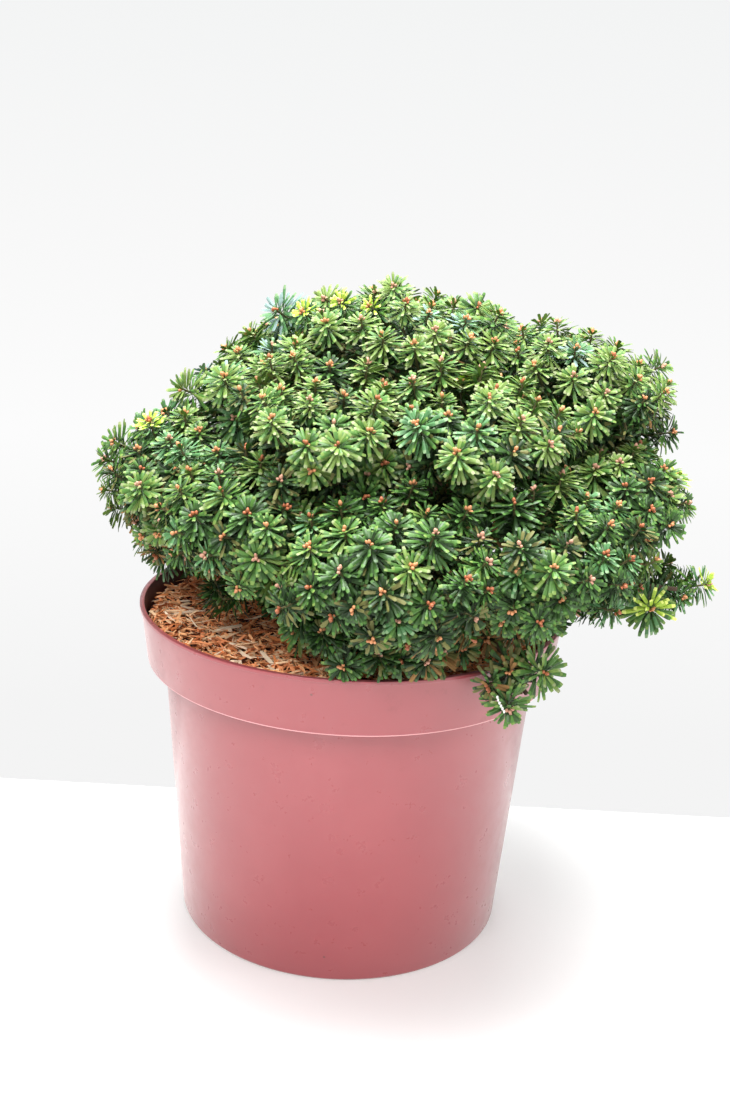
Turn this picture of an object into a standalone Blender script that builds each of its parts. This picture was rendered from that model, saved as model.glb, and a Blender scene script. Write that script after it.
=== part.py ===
"""Dwarf Korean fir shrub growing in a round nursery pot.

Metres, +Z up, with the origin at the middle of the pot's flat underside and -Y towards the viewer.
The crown is a set of foliage masses. Each keeps to its own space: an ellipsoid cut by flat walls
between it and its neighbours. One tapering bough runs from the trunk to each mass, and there a stem
carries short twigs, each ending in a toothed blade that stands for a spray of needles.
"""

import math
import random
from dataclasses import dataclass

import bmesh
import bpy
import numpy as np

SEED = 61
FIT_GAP = 0.0003
RING_GAP = 0.0006
UP = np.array([0.0, 0.0, 1.0])
LEVEL = np.array([1.0, 1.0, 0.0])

# Pot: a tapering body under a wider collar, with a thin lip round the top
POT_HEIGHT = 0.1987
RIM_RADIUS = 0.1272
LIP_DEPTH = 0.0022
LIP_STAND = 0.0008
COLLAR_FOOT_Z = 0.1649
COLLAR_FOOT_RADIUS = 0.1223
BODY_TOP_RADIUS = 0.1120
BODY_FOOT_RADIUS = 0.0992
FOOT_CHAMFER = 0.0016
WALL = 0.0020
FLOOR = 0.0050
POT_SIDES = 48
HUB_RADIUS = 0.0300
STANDING_RING_RADIUS = 0.0840
RECESS = 0.0030
DRAIN_COUNT = 8
DRAIN_RADIUS = 0.0050
DRAIN_CIRCLE = 0.0580
DRAIN_SIDES = 10

# Growing mix and the bark mulch on it
SOIL_Z = 0.1760
MULCH_Z = 0.1880
MULCH_TILT = 0.0042
MULCH_HIGH_SIDE = math.radians(-110)
MULCH_LUMP = 0.0014
MULCH_HOLE_RADIUS = 0.0225
MULCH_HOLE_TAPER = 0.0050
MULCH_RINGS = 5
MULCH_SIDES = 24

# Trunk: (height over the soil, radius) down to the flared foot
TRUNK_STEPS = ((0.000, 0.0158), (0.005, 0.0134), (0.014, 0.0116), (0.035, 0.0102), (0.060, 0.0082),
               (0.085, 0.0062), (0.106, 0.0046))
TRUNK_SIDES = 12
TRUNK_FOOT_X = 0.0040
TRUNK_LEAN_X = 0.0160
TRUNK_BEND_Y = 0.0030
FLARE_RIBS = 5
FLARE_RELIEF = 0.14
FLARE_FADE = 0.012

# Crown: its axis stands a little to the right of the pot's
CROWN_X = 0.0200
CROWN_EYE = np.array([CROWN_X, 0.0, 0.2400])
NEEDLE_REACH = 0.0100
SPACE_GAP = 0.0006

# Boughs: how far along and up their curves leave the trunk, and how straight they arrive
BOUGH_SIDES = 6
BOUGH_RINGS = 7
BOUGH_LEAVE_SHARE = 0.40
BOUGH_LEAVE_RISE = 0.20
BOUGH_ARRIVE_SHARE = 0.22
TIP_RADIUS = 0.0022

# Stem, core and walls of each mass
STEM_SIDES = 5
STEM_RINGS = 4
STEM_END_RADIUS = 0.0014
STEM_STRAIGHT_SHARE = 0.40
STEM_REACH_SHARE = 0.55
STEM_DROP = 0.50
WALL_NEARNESS = 0.0300

CORE_SHARE = 0.80
CORE_GAP = 0.0015
INNER_SHARE = 0.42
BOUGH_STAND_OFF = 0.0040
CORE_MERIDIANS = 9
CORE_PARALLELS = 6

# Sprays: toothed blades on short twigs, spread evenly over each mass
SPRAY_SPACING = 0.0390
SPRAY_RADIUS = 0.0215
SPRAY_TEETH = 6
NOTCH_RADIUS = 0.0100
SHORTEST_TOOTH = 0.0068
SHORTEST_NOTCH = 0.0045
WALL_MARGIN = 0.0100
HUB_MARGIN = 0.0055
CROWDED_SHARE = 0.70
FACING_RISE = 0.22
FACING_WOBBLE = 0.13
HEXAGON_PACKING = 0.87
AREA_POWER = 1.6075
TOOTH_LIFT = 0.0010
BUD_RISE = 0.0042
SPRAY_DEPTH = 0.0075
TWIG_RADIUS = 0.0021
TWIG_ROOT_SHARE = 0.62
HUB_RISE = 0.0035
HUB_JITTER = 0.0025
INWARD_LIMIT = -0.22
LIMB_CLEARANCE = 0.0027
POT_CLEARANCE = 0.0016


@dataclass
class Mass:
    """One mass of foliage: where it sits round the crown's axis, its size, and its bough."""

    name: str
    azimuth: float
    reach: float
    height: float
    half_size: tuple
    bough_height: float
    bough_radius: float
    arrival_rise: float = 0.35
    dense: bool = True
    hangs: bool = False

    @property
    def centre(self):
        angle = math.radians(self.azimuth)
        x = CROWN_X + self.reach * math.cos(angle)
        return np.array([x, self.reach * math.sin(angle), self.height])

    @property
    def radii(self):
        return np.array(self.half_size)


def rounded(width, height):
    """The half sizes of a mass that is as deep as it is wide."""
    return (width, width, height)


LOW_Z = 0.1985
SKIRT_Z = (0.2085, 0.2185, 0.2285)
SHOULDER_Z = (0.2400, 0.2520)
LOW_BOUGH = 0.0028
SKIRT_BOUGH = 0.0040
SHOULDER_BOUGH = 0.0042
SHOULDER = rounded(0.063, 0.050)
SKIRT = rounded(0.064, 0.042)

MASSES = (
    Mass("crown_top", 20, 0.004, 0.329, rounded(0.072, 0.050), 0.0, 0.0),
    Mass("shoulder_front_right", -60, 0.073, 0.297, SHOULDER, SHOULDER_Z[0], SHOULDER_BOUGH),
    Mass("shoulder_right", 0, 0.094, 0.313, rounded(0.064, 0.050), SHOULDER_Z[1], SHOULDER_BOUGH),
    Mass("shoulder_back_right", 60, 0.072, 0.315, SHOULDER, SHOULDER_Z[0], SHOULDER_BOUGH),
    Mass("shoulder_back_left", 120, 0.068, 0.317, SHOULDER, SHOULDER_Z[1], SHOULDER_BOUGH),
    Mass("shoulder_left", 180, 0.063, 0.302, rounded(0.063, 0.050), SHOULDER_Z[0], SHOULDER_BOUGH),
    Mass("shoulder_front_left", -120, 0.071, 0.296, SHOULDER, SHOULDER_Z[1], SHOULDER_BOUGH),
    Mass("skirt_front", -90, 0.104, 0.259, rounded(0.064, 0.038), SKIRT_Z[0], SKIRT_BOUGH),
    Mass("skirt_front_right", -50, 0.106, 0.260, SKIRT, SKIRT_Z[1], SKIRT_BOUGH),
    Mass("skirt_right", -12, 0.118, 0.277, rounded(0.054, 0.032), SKIRT_Z[2], SKIRT_BOUGH),
    Mass("skirt_back_right", 32, 0.110, 0.264, SKIRT, SKIRT_Z[0], SKIRT_BOUGH),
    Mass("skirt_back", 70, 0.104, 0.258, SKIRT, SKIRT_Z[1], SKIRT_BOUGH),
    Mass("skirt_back_left", 110, 0.104, 0.258, SKIRT, SKIRT_Z[2], SKIRT_BOUGH),
    Mass("skirt_far_left", 150, 0.104, 0.260, rounded(0.058, 0.042), SKIRT_Z[0], SKIRT_BOUGH),
    Mass("skirt_left", 188, 0.112, 0.272, rounded(0.052, 0.037), SKIRT_Z[2], SKIRT_BOUGH, 0.1),
    Mass("skirt_front_left", 228, 0.098, 0.273, rounded(0.056, 0.033), SKIRT_Z[1], SKIRT_BOUGH, 0.0),
    Mass("low_right", -9, 0.150, 0.225, (0.038, 0.026, 0.012), LOW_Z, LOW_BOUGH, 0.05, False),
    Mass("low_droop", -57, 0.127, 0.196, rounded(0.020, 0.020), LOW_Z, LOW_BOUGH, 1.0, False, True),
    Mass("low_front", -95, 0.096, 0.222, (0.056, 0.034, 0.026), LOW_Z, LOW_BOUGH, 0.05),
    Mass("low_front_left", -140, 0.082, 0.226, rounded(0.034, 0.022), LOW_Z, LOW_BOUGH, 0.05),
    Mass("low_left", 177, 0.126, 0.222, (0.030, 0.034, 0.016), LOW_Z, LOW_BOUGH, 0.05, False),
)


def unit(vector):
    """The vector at length one."""
    return vector / np.linalg.norm(vector)


def support(normal, radii):
    """How far an ellipsoid reaches from its centre along a unit direction."""
    return 1.0 / math.sqrt(float(np.sum((normal / radii) ** 2)))


def clear_scene():
    """Remove every object, so that the part is all there is."""
    for item in list(bpy.data.objects):
        bpy.data.objects.remove(item, do_unlink=True)


def make_material(name, colour, roughness):
    """One Principled BSDF with a plain colour."""
    material = bpy.data.materials.new(name)
    material.use_nodes = True
    shader = material.node_tree.nodes["Principled BSDF"]
    shader.inputs["Base Color"].default_value = (*colour, 1.0)
    shader.inputs["Roughness"].default_value = roughness
    return material


def add_object(name, shape, material=None, smooth_angle=None):
    """Turn a bmesh into a named object and free the bmesh."""
    bmesh.ops.triangulate(shape, faces=shape.faces[:])
    mesh = bpy.data.meshes.new(name)
    shape.to_mesh(mesh)
    shape.free()
    if material is not None:
        mesh.materials.append(material)
    if smooth_angle is not None:
        mesh.shade_smooth()
        mesh.set_sharp_from_angle(angle=math.radians(smooth_angle))
    item = bpy.data.objects.new(name, mesh)
    bpy.context.scene.collection.objects.link(item)
    return item


def bridge_rings(shape, lower, upper):
    """Join two rings of the same number of points by quads that face outwards."""
    count = len(lower)
    for i in range(count):
        j = (i + 1) % count
        shape.faces.new((lower[i], lower[j], upper[j], upper[i]))


def turned(profile, sides):
    """Turn a profile of (radius, z) round the Z axis.

    The profile starts and ends on the axis, and runs so that the solid lies on its left: out along
    the underside, up the outside and back over the top.
    """
    shape = bmesh.new()
    first = shape.verts.new((0.0, 0.0, profile[0][1]))
    last = shape.verts.new((0.0, 0.0, profile[-1][1]))
    rings = []
    for radius, z in profile[1:-1]:
        ring = []
        for k in range(sides):
            angle = math.tau * k / sides
            ring.append(shape.verts.new((radius * math.cos(angle), radius * math.sin(angle), z)))
        rings.append(ring)
    for lower, upper in zip(rings, rings[1:]):
        bridge_rings(shape, lower, upper)
    for i in range(sides):
        j = (i + 1) % sides
        shape.faces.new((first, rings[0][j], rings[0][i]))
        shape.faces.new((last, rings[-1][i], rings[-1][j]))
    return shape


def tube(points, radii, sides, first_way=None, last_way=None):
    """A closed tube along a path, with its own radius at each point and flat ends.

    An end that is given a way lies square to it, and the rest lies square to the path.
    """
    shape = bmesh.new()
    rings = []
    side = np.cross(UP, points[-1] - points[0])
    if np.linalg.norm(side) < 1e-6:
        side = np.array([1.0, 0.0, 0.0])
    for i, point in enumerate(points):
        ahead = points[min(i + 1, len(points) - 1)]
        behind = points[max(i - 1, 0)]
        along = unit(ahead - behind)
        if i == 0 and first_way is not None:
            along = first_way
        if i == len(points) - 1 and last_way is not None:
            along = last_way
        across = unit(side - along * float(side @ along))
        over = np.cross(along, across)
        ring = []
        for k in range(sides):
            angle = math.tau * k / sides
            spot = point + radii[i] * (across * math.cos(angle) + over * math.sin(angle))
            ring.append(shape.verts.new(spot))
        rings.append(ring)
    for lower, upper in zip(rings, rings[1:]):
        bridge_rings(shape, lower, upper)
    shape.faces.new(list(reversed(rings[0])))
    shape.faces.new(rings[-1])
    return shape


def subtract(item, cutter, solver="EXACT"):
    """Cut one object with another for good, and remove the cutter."""
    cutter.hide_render = True
    cutter.display_type = "WIRE"
    cut = item.modifiers.new("cut", "BOOLEAN")
    cut.operation = "DIFFERENCE"
    cut.solver = solver
    cut.object = cutter
    apply_modifiers(item)
    bpy.data.objects.remove(cutter, do_unlink=True)


def apply_modifiers(item):
    """Replace an object's mesh by what its modifiers make of it."""
    bpy.context.view_layer.update()
    graph = bpy.context.evaluated_depsgraph_get()
    mesh = bpy.data.meshes.new_from_object(item.evaluated_get(graph))
    item.modifiers.clear()
    item.data = mesh


def body_radius(z):
    """The pot body's outer radius at a height."""
    return BODY_FOOT_RADIUS + (BODY_TOP_RADIUS - BODY_FOOT_RADIUS) * z / COLLAR_FOOT_Z


def collar_radius(z):
    """The collar's outer radius at a height, below its lip."""
    rise = (z - COLLAR_FOOT_Z) / (POT_HEIGHT - COLLAR_FOOT_Z)
    return COLLAR_FOOT_RADIUS + (RIM_RADIUS - LIP_STAND - COLLAR_FOOT_RADIUS) * rise


def ledge_z():
    """The height of the ledge inside the pot, where the body opens out into the collar."""
    return COLLAR_FOOT_Z + WALL


def pot_profile():
    """The pot's section: out under the floor, up the outside, over the lip and down the inside."""
    lip_z = POT_HEIGHT - LIP_DEPTH
    underside = [(0.0, 0.0), (HUB_RADIUS, 0.0), (HUB_RADIUS + RECESS / 2, RECESS),
                 (STANDING_RING_RADIUS - RECESS / 2, RECESS), (STANDING_RING_RADIUS, 0.0),
                 (BODY_FOOT_RADIUS - FOOT_CHAMFER, 0.0), (body_radius(FOOT_CHAMFER), FOOT_CHAMFER)]
    outside = [(BODY_TOP_RADIUS, COLLAR_FOOT_Z), (COLLAR_FOOT_RADIUS, COLLAR_FOOT_Z),
               (collar_radius(lip_z), lip_z), (RIM_RADIUS, lip_z + LIP_STAND / 2),
               (RIM_RADIUS, POT_HEIGHT - LIP_STAND / 2), (RIM_RADIUS - LIP_STAND / 2, POT_HEIGHT)]
    inside = [(collar_radius(POT_HEIGHT) - WALL, POT_HEIGHT),
              (collar_radius(ledge_z()) - WALL, ledge_z()),
              (BODY_TOP_RADIUS - WALL, ledge_z()),
              (body_radius(FLOOR) - WALL, FLOOR), (0.0, FLOOR)]
    return underside + outside + inside


def make_pot(material):
    """The pot, with drain holes through the raised part of its floor."""
    pot = add_object("pot", turned(pot_profile(), POT_SIDES), material, 35)
    for k in range(DRAIN_COUNT):
        angle = math.tau * (k + 0.5) / DRAIN_COUNT
        foot = np.array([DRAIN_CIRCLE * math.cos(angle), DRAIN_CIRCLE * math.sin(angle), -FLOOR])
        path = (foot, foot + 3 * FLOOR * UP)
        drill = add_object("drill", tube(path, (DRAIN_RADIUS, DRAIN_RADIUS), DRAIN_SIDES))
        subtract(pot, drill)
    return pot


def make_root_ball(material):
    """The growing mix and roots, which fill the pot to just under the mulch."""
    ledge = ledge_z() + FIT_GAP
    inner_top = BODY_TOP_RADIUS - WALL - RING_GAP
    profile = [(0.0, FLOOR + FIT_GAP), (body_radius(FLOOR) - WALL - RING_GAP, FLOOR + FIT_GAP),
               (inner_top, ledge), (collar_radius(ledge) - WALL - RING_GAP, ledge),
               (collar_radius(SOIL_Z) - WALL - RING_GAP, SOIL_Z), (0.0, SOIL_Z)]
    return add_object("root_ball", turned(profile, POT_SIDES), material, 35)


def mulch_height(x, y):
    """The mulch's mean height: it lies a little higher at the front left than at the back."""
    along = x * math.cos(MULCH_HIGH_SIDE) + y * math.sin(MULCH_HIGH_SIDE)
    return MULCH_Z + MULCH_TILT * along / RIM_RADIUS


def make_mulch(material):
    """Bark mulch: a lumpy ring on the growing mix, with room for the trunk's foot in the middle."""
    rng = random.Random(SEED)
    shape = bmesh.new()
    foot_z = SOIL_Z + FIT_GAP
    hole = MULCH_HOLE_RADIUS - MULCH_HOLE_TAPER
    edge = collar_radius(MULCH_Z) - WALL - 3 * RING_GAP
    plan = [(MULCH_HOLE_RADIUS, 0.0, foot_z)]
    for k in range(MULCH_RINGS + 1):
        share = k / MULCH_RINGS
        plan.append((hole + (edge - hole) * share, share, None))
    plan.append((collar_radius(foot_z) - WALL - RING_GAP, 1.0, foot_z))
    rings = []
    for radius, share, z in plan:
        ring = []
        for k in range(MULCH_SIDES):
            angle = math.tau * k / MULCH_SIDES
            x = radius * math.cos(angle) + TRUNK_FOOT_X * (1.0 - share)
            y = radius * math.sin(angle)
            top = mulch_height(x, y) + rng.uniform(-MULCH_LUMP, MULCH_LUMP)
            ring.append(shape.verts.new((x, y, top if z is None else z)))
        rings.append(ring)
    for inner, outer in zip(rings, rings[1:] + rings[:1]):
        bridge_rings(shape, outer, inner)
    return add_object("bark_mulch", shape, material, 60)


def trunk_axis(z):
    """The middle of the trunk at a height: it leans to the right, and bends a little back."""
    top = SOIL_Z + TRUNK_STEPS[-1][0]
    rise = (z - SOIL_Z) / (top - SOIL_Z)
    return np.array([TRUNK_FOOT_X + TRUNK_LEAN_X * rise, TRUNK_BEND_Y * rise * rise, z])


def trunk_shape(grow):
    """The trunk with its ribbed flare, grown all over by a small amount."""
    shape = bmesh.new()
    rings = []
    foot = SOIL_Z + FIT_GAP
    for rise, radius in TRUNK_STEPS:
        middle = trunk_axis(foot + rise)
        relief = FLARE_RELIEF * math.exp(-rise / FLARE_FADE)
        ring = []
        for k in range(TRUNK_SIDES):
            angle = math.tau * k / TRUNK_SIDES
            ribbed = radius * (1 + relief * math.cos(FLARE_RIBS * angle)) + grow
            spot = middle + ribbed * np.array([math.cos(angle), math.sin(angle), 0.0])
            ring.append(shape.verts.new(spot))
        rings.append(ring)
    for lower, upper in zip(rings, rings[1:]):
        bridge_rings(shape, lower, upper)
    shape.faces.new(list(reversed(rings[0])))
    shape.faces.new(rings[-1])
    return shape


def trunk_tip():
    """The middle of the trunk's top end."""
    return trunk_axis(SOIL_Z + FIT_GAP + TRUNK_STEPS[-1][0])


def curve(start, leave, arrive, end, count):
    """Points along a cubic Bezier curve."""
    t = np.linspace(0.0, 1.0, count)[:, None]
    s = 1.0 - t
    return s ** 3 * start + 3 * s * s * t * leave + 3 * s * t * t * arrive + t ** 3 * end


class Space:
    """The room that one mass keeps to.

    It is the mass's ellipsoid grown by the needles' reach, within a flat wall between it and each
    neighbour. Each wall stands across the line between the two centres, where the two ellipsoids
    have the same share of it. A last wall keeps it over the pot, or outside the rim where it hangs.
    """

    def __init__(self, mass, others):
        self.centre = mass.centre
        self.radii = mass.radii + NEEDLE_REACH
        self.walls = []
        for other in others:
            apart = other.centre - mass.centre
            distance = float(np.linalg.norm(apart))
            normal = apart / distance
            own = support(normal, mass.radii)
            theirs = support(normal, other.radii)
            limit = distance * own / (own + theirs)
            if limit < own + WALL_NEARNESS:
                self.walls.append((normal, float(normal @ mass.centre) + limit - SPACE_GAP))
        if mass.hangs:
            inward = -unit(mass.centre * LEVEL)
            self.walls.append((inward, -(RIM_RADIUS + POT_CLEARANCE)))
        else:
            self.walls.append((-UP, -(POT_HEIGHT + POT_CLEARANCE)))

    def room(self, point):
        """The distance to the nearest wall, which is negative for a point beyond one."""
        return min(limit - float(normal @ point) for normal, limit in self.walls)

    def pulled_in(self, point, margin):
        """The point moved square away from each wall that it lies closer to than a margin."""
        for normal, limit in self.walls:
            short = margin - (limit - float(normal @ point))
            if short > 0.0:
                point = point - normal * short
        return point

    def reach(self, start, way, wanted):
        """How far a straight line may run from a point before it leaves the space."""
        scaled_start = (start - self.centre) / self.radii
        scaled_way = way / self.radii
        a = float(scaled_way @ scaled_way)
        b = float(scaled_start @ scaled_way)
        c = float(scaled_start @ scaled_start) - 1.0
        if c >= 0.0:
            return 0.0
        far = min(wanted, (-b + math.sqrt(b * b - a * c)) / a)
        for normal, limit in self.walls:
            rate = float(normal @ way)
            room = limit - float(normal @ start)
            if room <= 0.0:
                return 0.0
            if rate > 0.0:
                far = min(far, room / rate)
        return far

    def holds(self, point):
        """Whether a point lies in the space."""
        offset = (point - self.centre) / self.radii
        inside = float(offset @ offset) < 1.0
        return inside and all(float(normal @ point) < limit for normal, limit in self.walls)


class Limbs:
    """Every trunk and bough as a chain of round spots, to keep leaves clear of them."""

    def __init__(self):
        self.spots = np.empty((0, 3))
        self.radii = np.empty(0)

    def add(self, points, radii):
        """Take in one limb, with spots a short way apart along it."""
        for i in range(len(points) - 1):
            share = np.linspace(0.0, 1.0, 9)[:, None]
            self.spots = np.vstack([self.spots, points[i] + (points[i + 1] - points[i]) * share])
            widths = radii[i] + (radii[i + 1] - radii[i]) * share[:, 0]
            self.radii = np.concatenate([self.radii, widths])

    def clear_of(self, points):
        """Whether all the points keep clear of every limb."""
        gaps = np.linalg.norm(points[:, None, :] - self.spots[None, :, :], axis=2) - self.radii
        return bool(gaps.min() > LIMB_CLEARANCE)


def inner_wall(mass):
    """The flat face on a mass's inner side, behind which the crown is open and bare."""
    inward = unit(CROWN_EYE - mass.centre)
    limit = float(inward @ mass.centre) + INNER_SHARE * support(inward, mass.radii)
    return inward, limit


@dataclass
class Limb:
    """A bough's path with its radii, and the way its tip points."""

    points: np.ndarray
    radii: np.ndarray
    heading: np.ndarray


def plan_bough(mass):
    """Lay out a mass's bough, from inside the trunk to where it enters the mass's space."""
    start = trunk_axis(mass.bough_height)
    back = unit(unit(start - mass.centre) + mass.arrival_rise * UP)
    inward, limit = inner_wall(mass)
    face = (limit - float(inward @ mass.centre)) / float(inward @ back)
    tip = mass.centre + back * (face + BOUGH_STAND_OFF)
    run = float(np.linalg.norm((tip - start) * LEVEL))
    out = unit((tip - start) * LEVEL)
    leave = start + out * BOUGH_LEAVE_SHARE * run + UP * BOUGH_LEAVE_RISE * (tip[2] - start[2])
    arrive = tip + back * BOUGH_ARRIVE_SHARE * run
    points = curve(start, leave, arrive, tip, BOUGH_RINGS)
    radii = np.linspace(mass.bough_radius, TIP_RADIUS, BOUGH_RINGS)
    return Limb(points, radii, -back)


def plan_top_stem():
    """The trunk's own tip stands in for a bough under the top mass."""
    tip = trunk_tip()
    radius = TRUNK_STEPS[-1][1]
    return Limb(np.array([tip - 0.01 * UP, tip]), np.array([radius, radius]), UP)


def make_bough(mass, limb, material):
    """One tapering bough, hollowed at its foot to sit against the trunk."""
    shape = tube(limb.points, limb.radii, BOUGH_SIDES, last_way=limb.heading)
    bough = add_object("bough_" + mass.name, shape, material, 60)
    collar = add_object("collar", trunk_shape(FIT_GAP))
    subtract(bough, collar)
    return bough


def plan_stem(mass, limb):
    """The stem inside a mass: it carries on from the bough's tip, to or past the middle."""
    start = limb.points[-1] + limb.heading * FIT_GAP
    end = mass.centre
    if not mass.dense:
        out = unit(mass.centre * LEVEL)
        onward = unit(out - mass.arrival_rise * STEM_DROP * UP)
        end = mass.centre + onward * STEM_REACH_SHARE * support(onward, mass.radii)
    run = float(np.linalg.norm(end - start))
    leave = start + limb.heading * STEM_STRAIGHT_SHARE * run
    return curve(start, leave, mass.centre, end, STEM_RINGS)


def stem_shape(points, limb):
    """A slim tapering tube for the stem inside a mass."""
    radii = np.linspace(limb.radii[-1], STEM_END_RADIUS, STEM_RINGS)
    return tube(points, radii, STEM_SIDES, first_way=limb.heading)


def core_shape(mass, space):
    """The dense middle of a mass: a faceted ellipsoid, cut back to the mass's own space."""
    shape = bmesh.new()
    bmesh.ops.create_uvsphere(shape, u_segments=CORE_MERIDIANS, v_segments=CORE_PARALLELS, radius=1.0)
    for vertex in shape.verts:
        vertex.co = mass.centre + np.array(vertex.co) * mass.radii * CORE_SHARE
    for normal, limit in space.walls + [inner_wall(mass)]:
        geometry = shape.verts[:] + shape.edges[:] + shape.faces[:]
        bmesh.ops.bisect_plane(shape, geom=geometry, plane_co=normal * (limit - CORE_GAP),
                               plane_no=normal, clear_outer=True)
        rim = [edge for edge in shape.edges if edge.is_boundary]
        bmesh.ops.holes_fill(shape, edges=rim)
    bmesh.ops.recalc_face_normals(shape, faces=shape.faces[:])
    return shape


def twig_root(mass, stem, hub):
    """Where a spray's twig starts: deep in a dense core, or back along an open mass's stem."""
    if mass.dense:
        return mass.centre + (hub - mass.centre) * TWIG_ROOT_SHARE
    share = np.linspace(0.0, 1.0, 12)[:, None]
    spots = np.vstack([a + (b - a) * share for a, b in zip(stem, stem[1:])])
    nearest = int(np.argmin(np.linalg.norm(spots - hub, axis=1)))
    return spots[max(nearest - 5, 0)]


@dataclass
class Spray:
    """One spray of needles: the middle of its blade, the way it faces, and its teeth's ends."""

    hub: np.ndarray
    facing: np.ndarray
    outline: np.ndarray
    root: np.ndarray


def across_axes(facing):
    """Two unit directions that lie across a facing direction and across each other."""
    guide = np.array([1.0, 0.0, 0.0]) if abs(facing[2]) > 0.9 else UP
    first = unit(np.cross(guide, facing))
    return first, np.cross(facing, first)


def spray_outline(hub, facing, spin, space):
    """The blade's outline: long teeth and short notches by turns, each kept within the space."""
    first, second = across_axes(facing)
    outline = []
    for k in range(2 * SPRAY_TEETH):
        angle = spin + math.pi * k / SPRAY_TEETH
        way = first * math.cos(angle) + second * math.sin(angle)
        tooth = k % 2 == 0
        lift = TOOTH_LIFT if tooth else 0.0
        wanted = SPRAY_RADIUS if tooth else NOTCH_RADIUS
        way = unit(way + facing * lift / wanted)
        outline.append(hub + way * space.reach(hub, way, wanted))
    return np.array(outline)


def spray_fits(spray, space, limbs):
    """Whether a spray keeps to its space, has room for its teeth, and touches no limb or pot."""
    teeth = np.linalg.norm(spray.outline[::2] - spray.hub, axis=1)
    notches = np.linalg.norm(spray.outline[1::2] - spray.hub, axis=1)
    if np.sort(teeth)[2] < SHORTEST_TOOTH or notches.min() < SHORTEST_NOTCH:
        return False
    bud = spray.hub + spray.facing * BUD_RISE
    neck = spray.hub - spray.facing * SPRAY_DEPTH
    share = np.linspace(0.0, 1.0, 6)[:, None]
    twig = neck + (spray.root - neck) * share
    halfway = (spray.outline + spray.hub) / 2
    corners = np.vstack([spray.outline, halfway, bud, neck])
    if not all(space.holds(point) for point in np.vstack([bud, neck, spray.root])):
        return False
    return limbs.clear_of(np.vstack([corners, twig]))


def spray_shape(spray):
    """A toothed blade with a bud on top, on a three-sided twig that runs down to its root."""
    shape = bmesh.new()
    first, second = across_axes(spray.facing)
    bud = shape.verts.new(spray.hub + spray.facing * BUD_RISE)
    outline = [shape.verts.new(point) for point in spray.outline]
    start = spray.outline[0] - spray.hub
    spin = math.atan2(float(start @ second), float(start @ first))
    necks = []
    roots = []
    for k in range(3):
        angle = spin + math.tau * (k + 0.5) / 3
        across = TWIG_RADIUS * (first * math.cos(angle) + second * math.sin(angle))
        necks.append(shape.verts.new(spray.hub - spray.facing * SPRAY_DEPTH + across))
        roots.append(shape.verts.new(spray.root + across))
    count = len(outline)
    for i in range(count):
        j = (i + 1) % count
        own = 3 * i // count
        following = 3 * j // count
        shape.faces.new((bud, outline[i], outline[j]))
        shape.faces.new((outline[j], outline[i], necks[own]))
        if following != own:
            shape.faces.new((outline[j], necks[own], necks[following]))
    bridge_rings(shape, roots, necks)
    shape.faces.new(list(reversed(roots)))
    return shape


def spiral_directions(count):
    """Unit directions spread evenly over a sphere along a golden-angle spiral."""
    steps = np.arange(count) + 0.5
    z = 1.0 - 2.0 * steps / count
    turn = steps * math.pi * (3.0 - math.sqrt(5.0))
    flat = np.sqrt(1.0 - z * z)
    return np.stack([flat * np.cos(turn), flat * np.sin(turn), z], axis=1)


def ellipsoid_area(radii):
    """A close estimate of an ellipsoid's surface."""
    a, b, c = (float(radius) ** AREA_POWER for radius in radii)
    return 4.0 * math.pi * ((a * b + a * c + b * c) / 3.0) ** (1.0 / AREA_POWER)


def grow_sprays(mass, space, stem, limbs, spacing, seed):
    """The sprays of one mass: spread over its outward side, and left out where they have no room."""
    rng = random.Random(seed)
    count = round(ellipsoid_area(mass.radii) / (HEXAGON_PACKING * spacing ** 2))
    sprays = []
    for way in spiral_directions(count):
        wobble = np.array([rng.gauss(0.0, FACING_WOBBLE) for _ in range(3)])
        depth = HUB_RISE + rng.uniform(-HUB_JITTER, HUB_JITTER)
        spin = rng.uniform(0.0, math.tau)
        skin = mass.centre + way * mass.radii
        if space.room(skin) < -0.5 * spacing:
            continue
        way = unit((space.pulled_in(skin, WALL_MARGIN) - mass.centre) / mass.radii)
        skin = mass.centre + way * mass.radii
        normal = unit(way / mass.radii)
        hub = space.pulled_in(skin + normal * depth, HUB_MARGIN)
        crowded = any(np.linalg.norm(hub - other.hub) < CROWDED_SHARE * spacing for other in sprays)
        if crowded or float(normal @ unit(skin - CROWN_EYE)) < INWARD_LIMIT:
            continue
        facing = unit(normal + FACING_RISE * UP + wobble)
        outline = spray_outline(hub, facing, spin, space)
        spray = Spray(hub, facing, outline, twig_root(mass, stem, hub))
        if spray_fits(spray, space, limbs):
            sprays.append(spray)
    return sprays


def shells(shape):
    """The separate closed skins in a bmesh, as lists of faces."""
    unseen = set(shape.faces)
    found = []
    while unseen:
        queue = [unseen.pop()]
        skin = []
        while queue:
            face = queue.pop()
            skin.append(face)
            for edge in face.edges:
                for other in edge.link_faces:
                    if other in unseen:
                        unseen.remove(other)
                        queue.append(other)
        found.append(skin)
    return found


def skin_volume(faces):
    """The volume inside a skin of triangles, which is negative for a hollow."""
    total = 0.0
    for face in faces:
        a, b, c = (vertex.co for vertex in face.verts)
        total += a.dot(b.cross(c)) / 6.0
    return total


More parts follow.
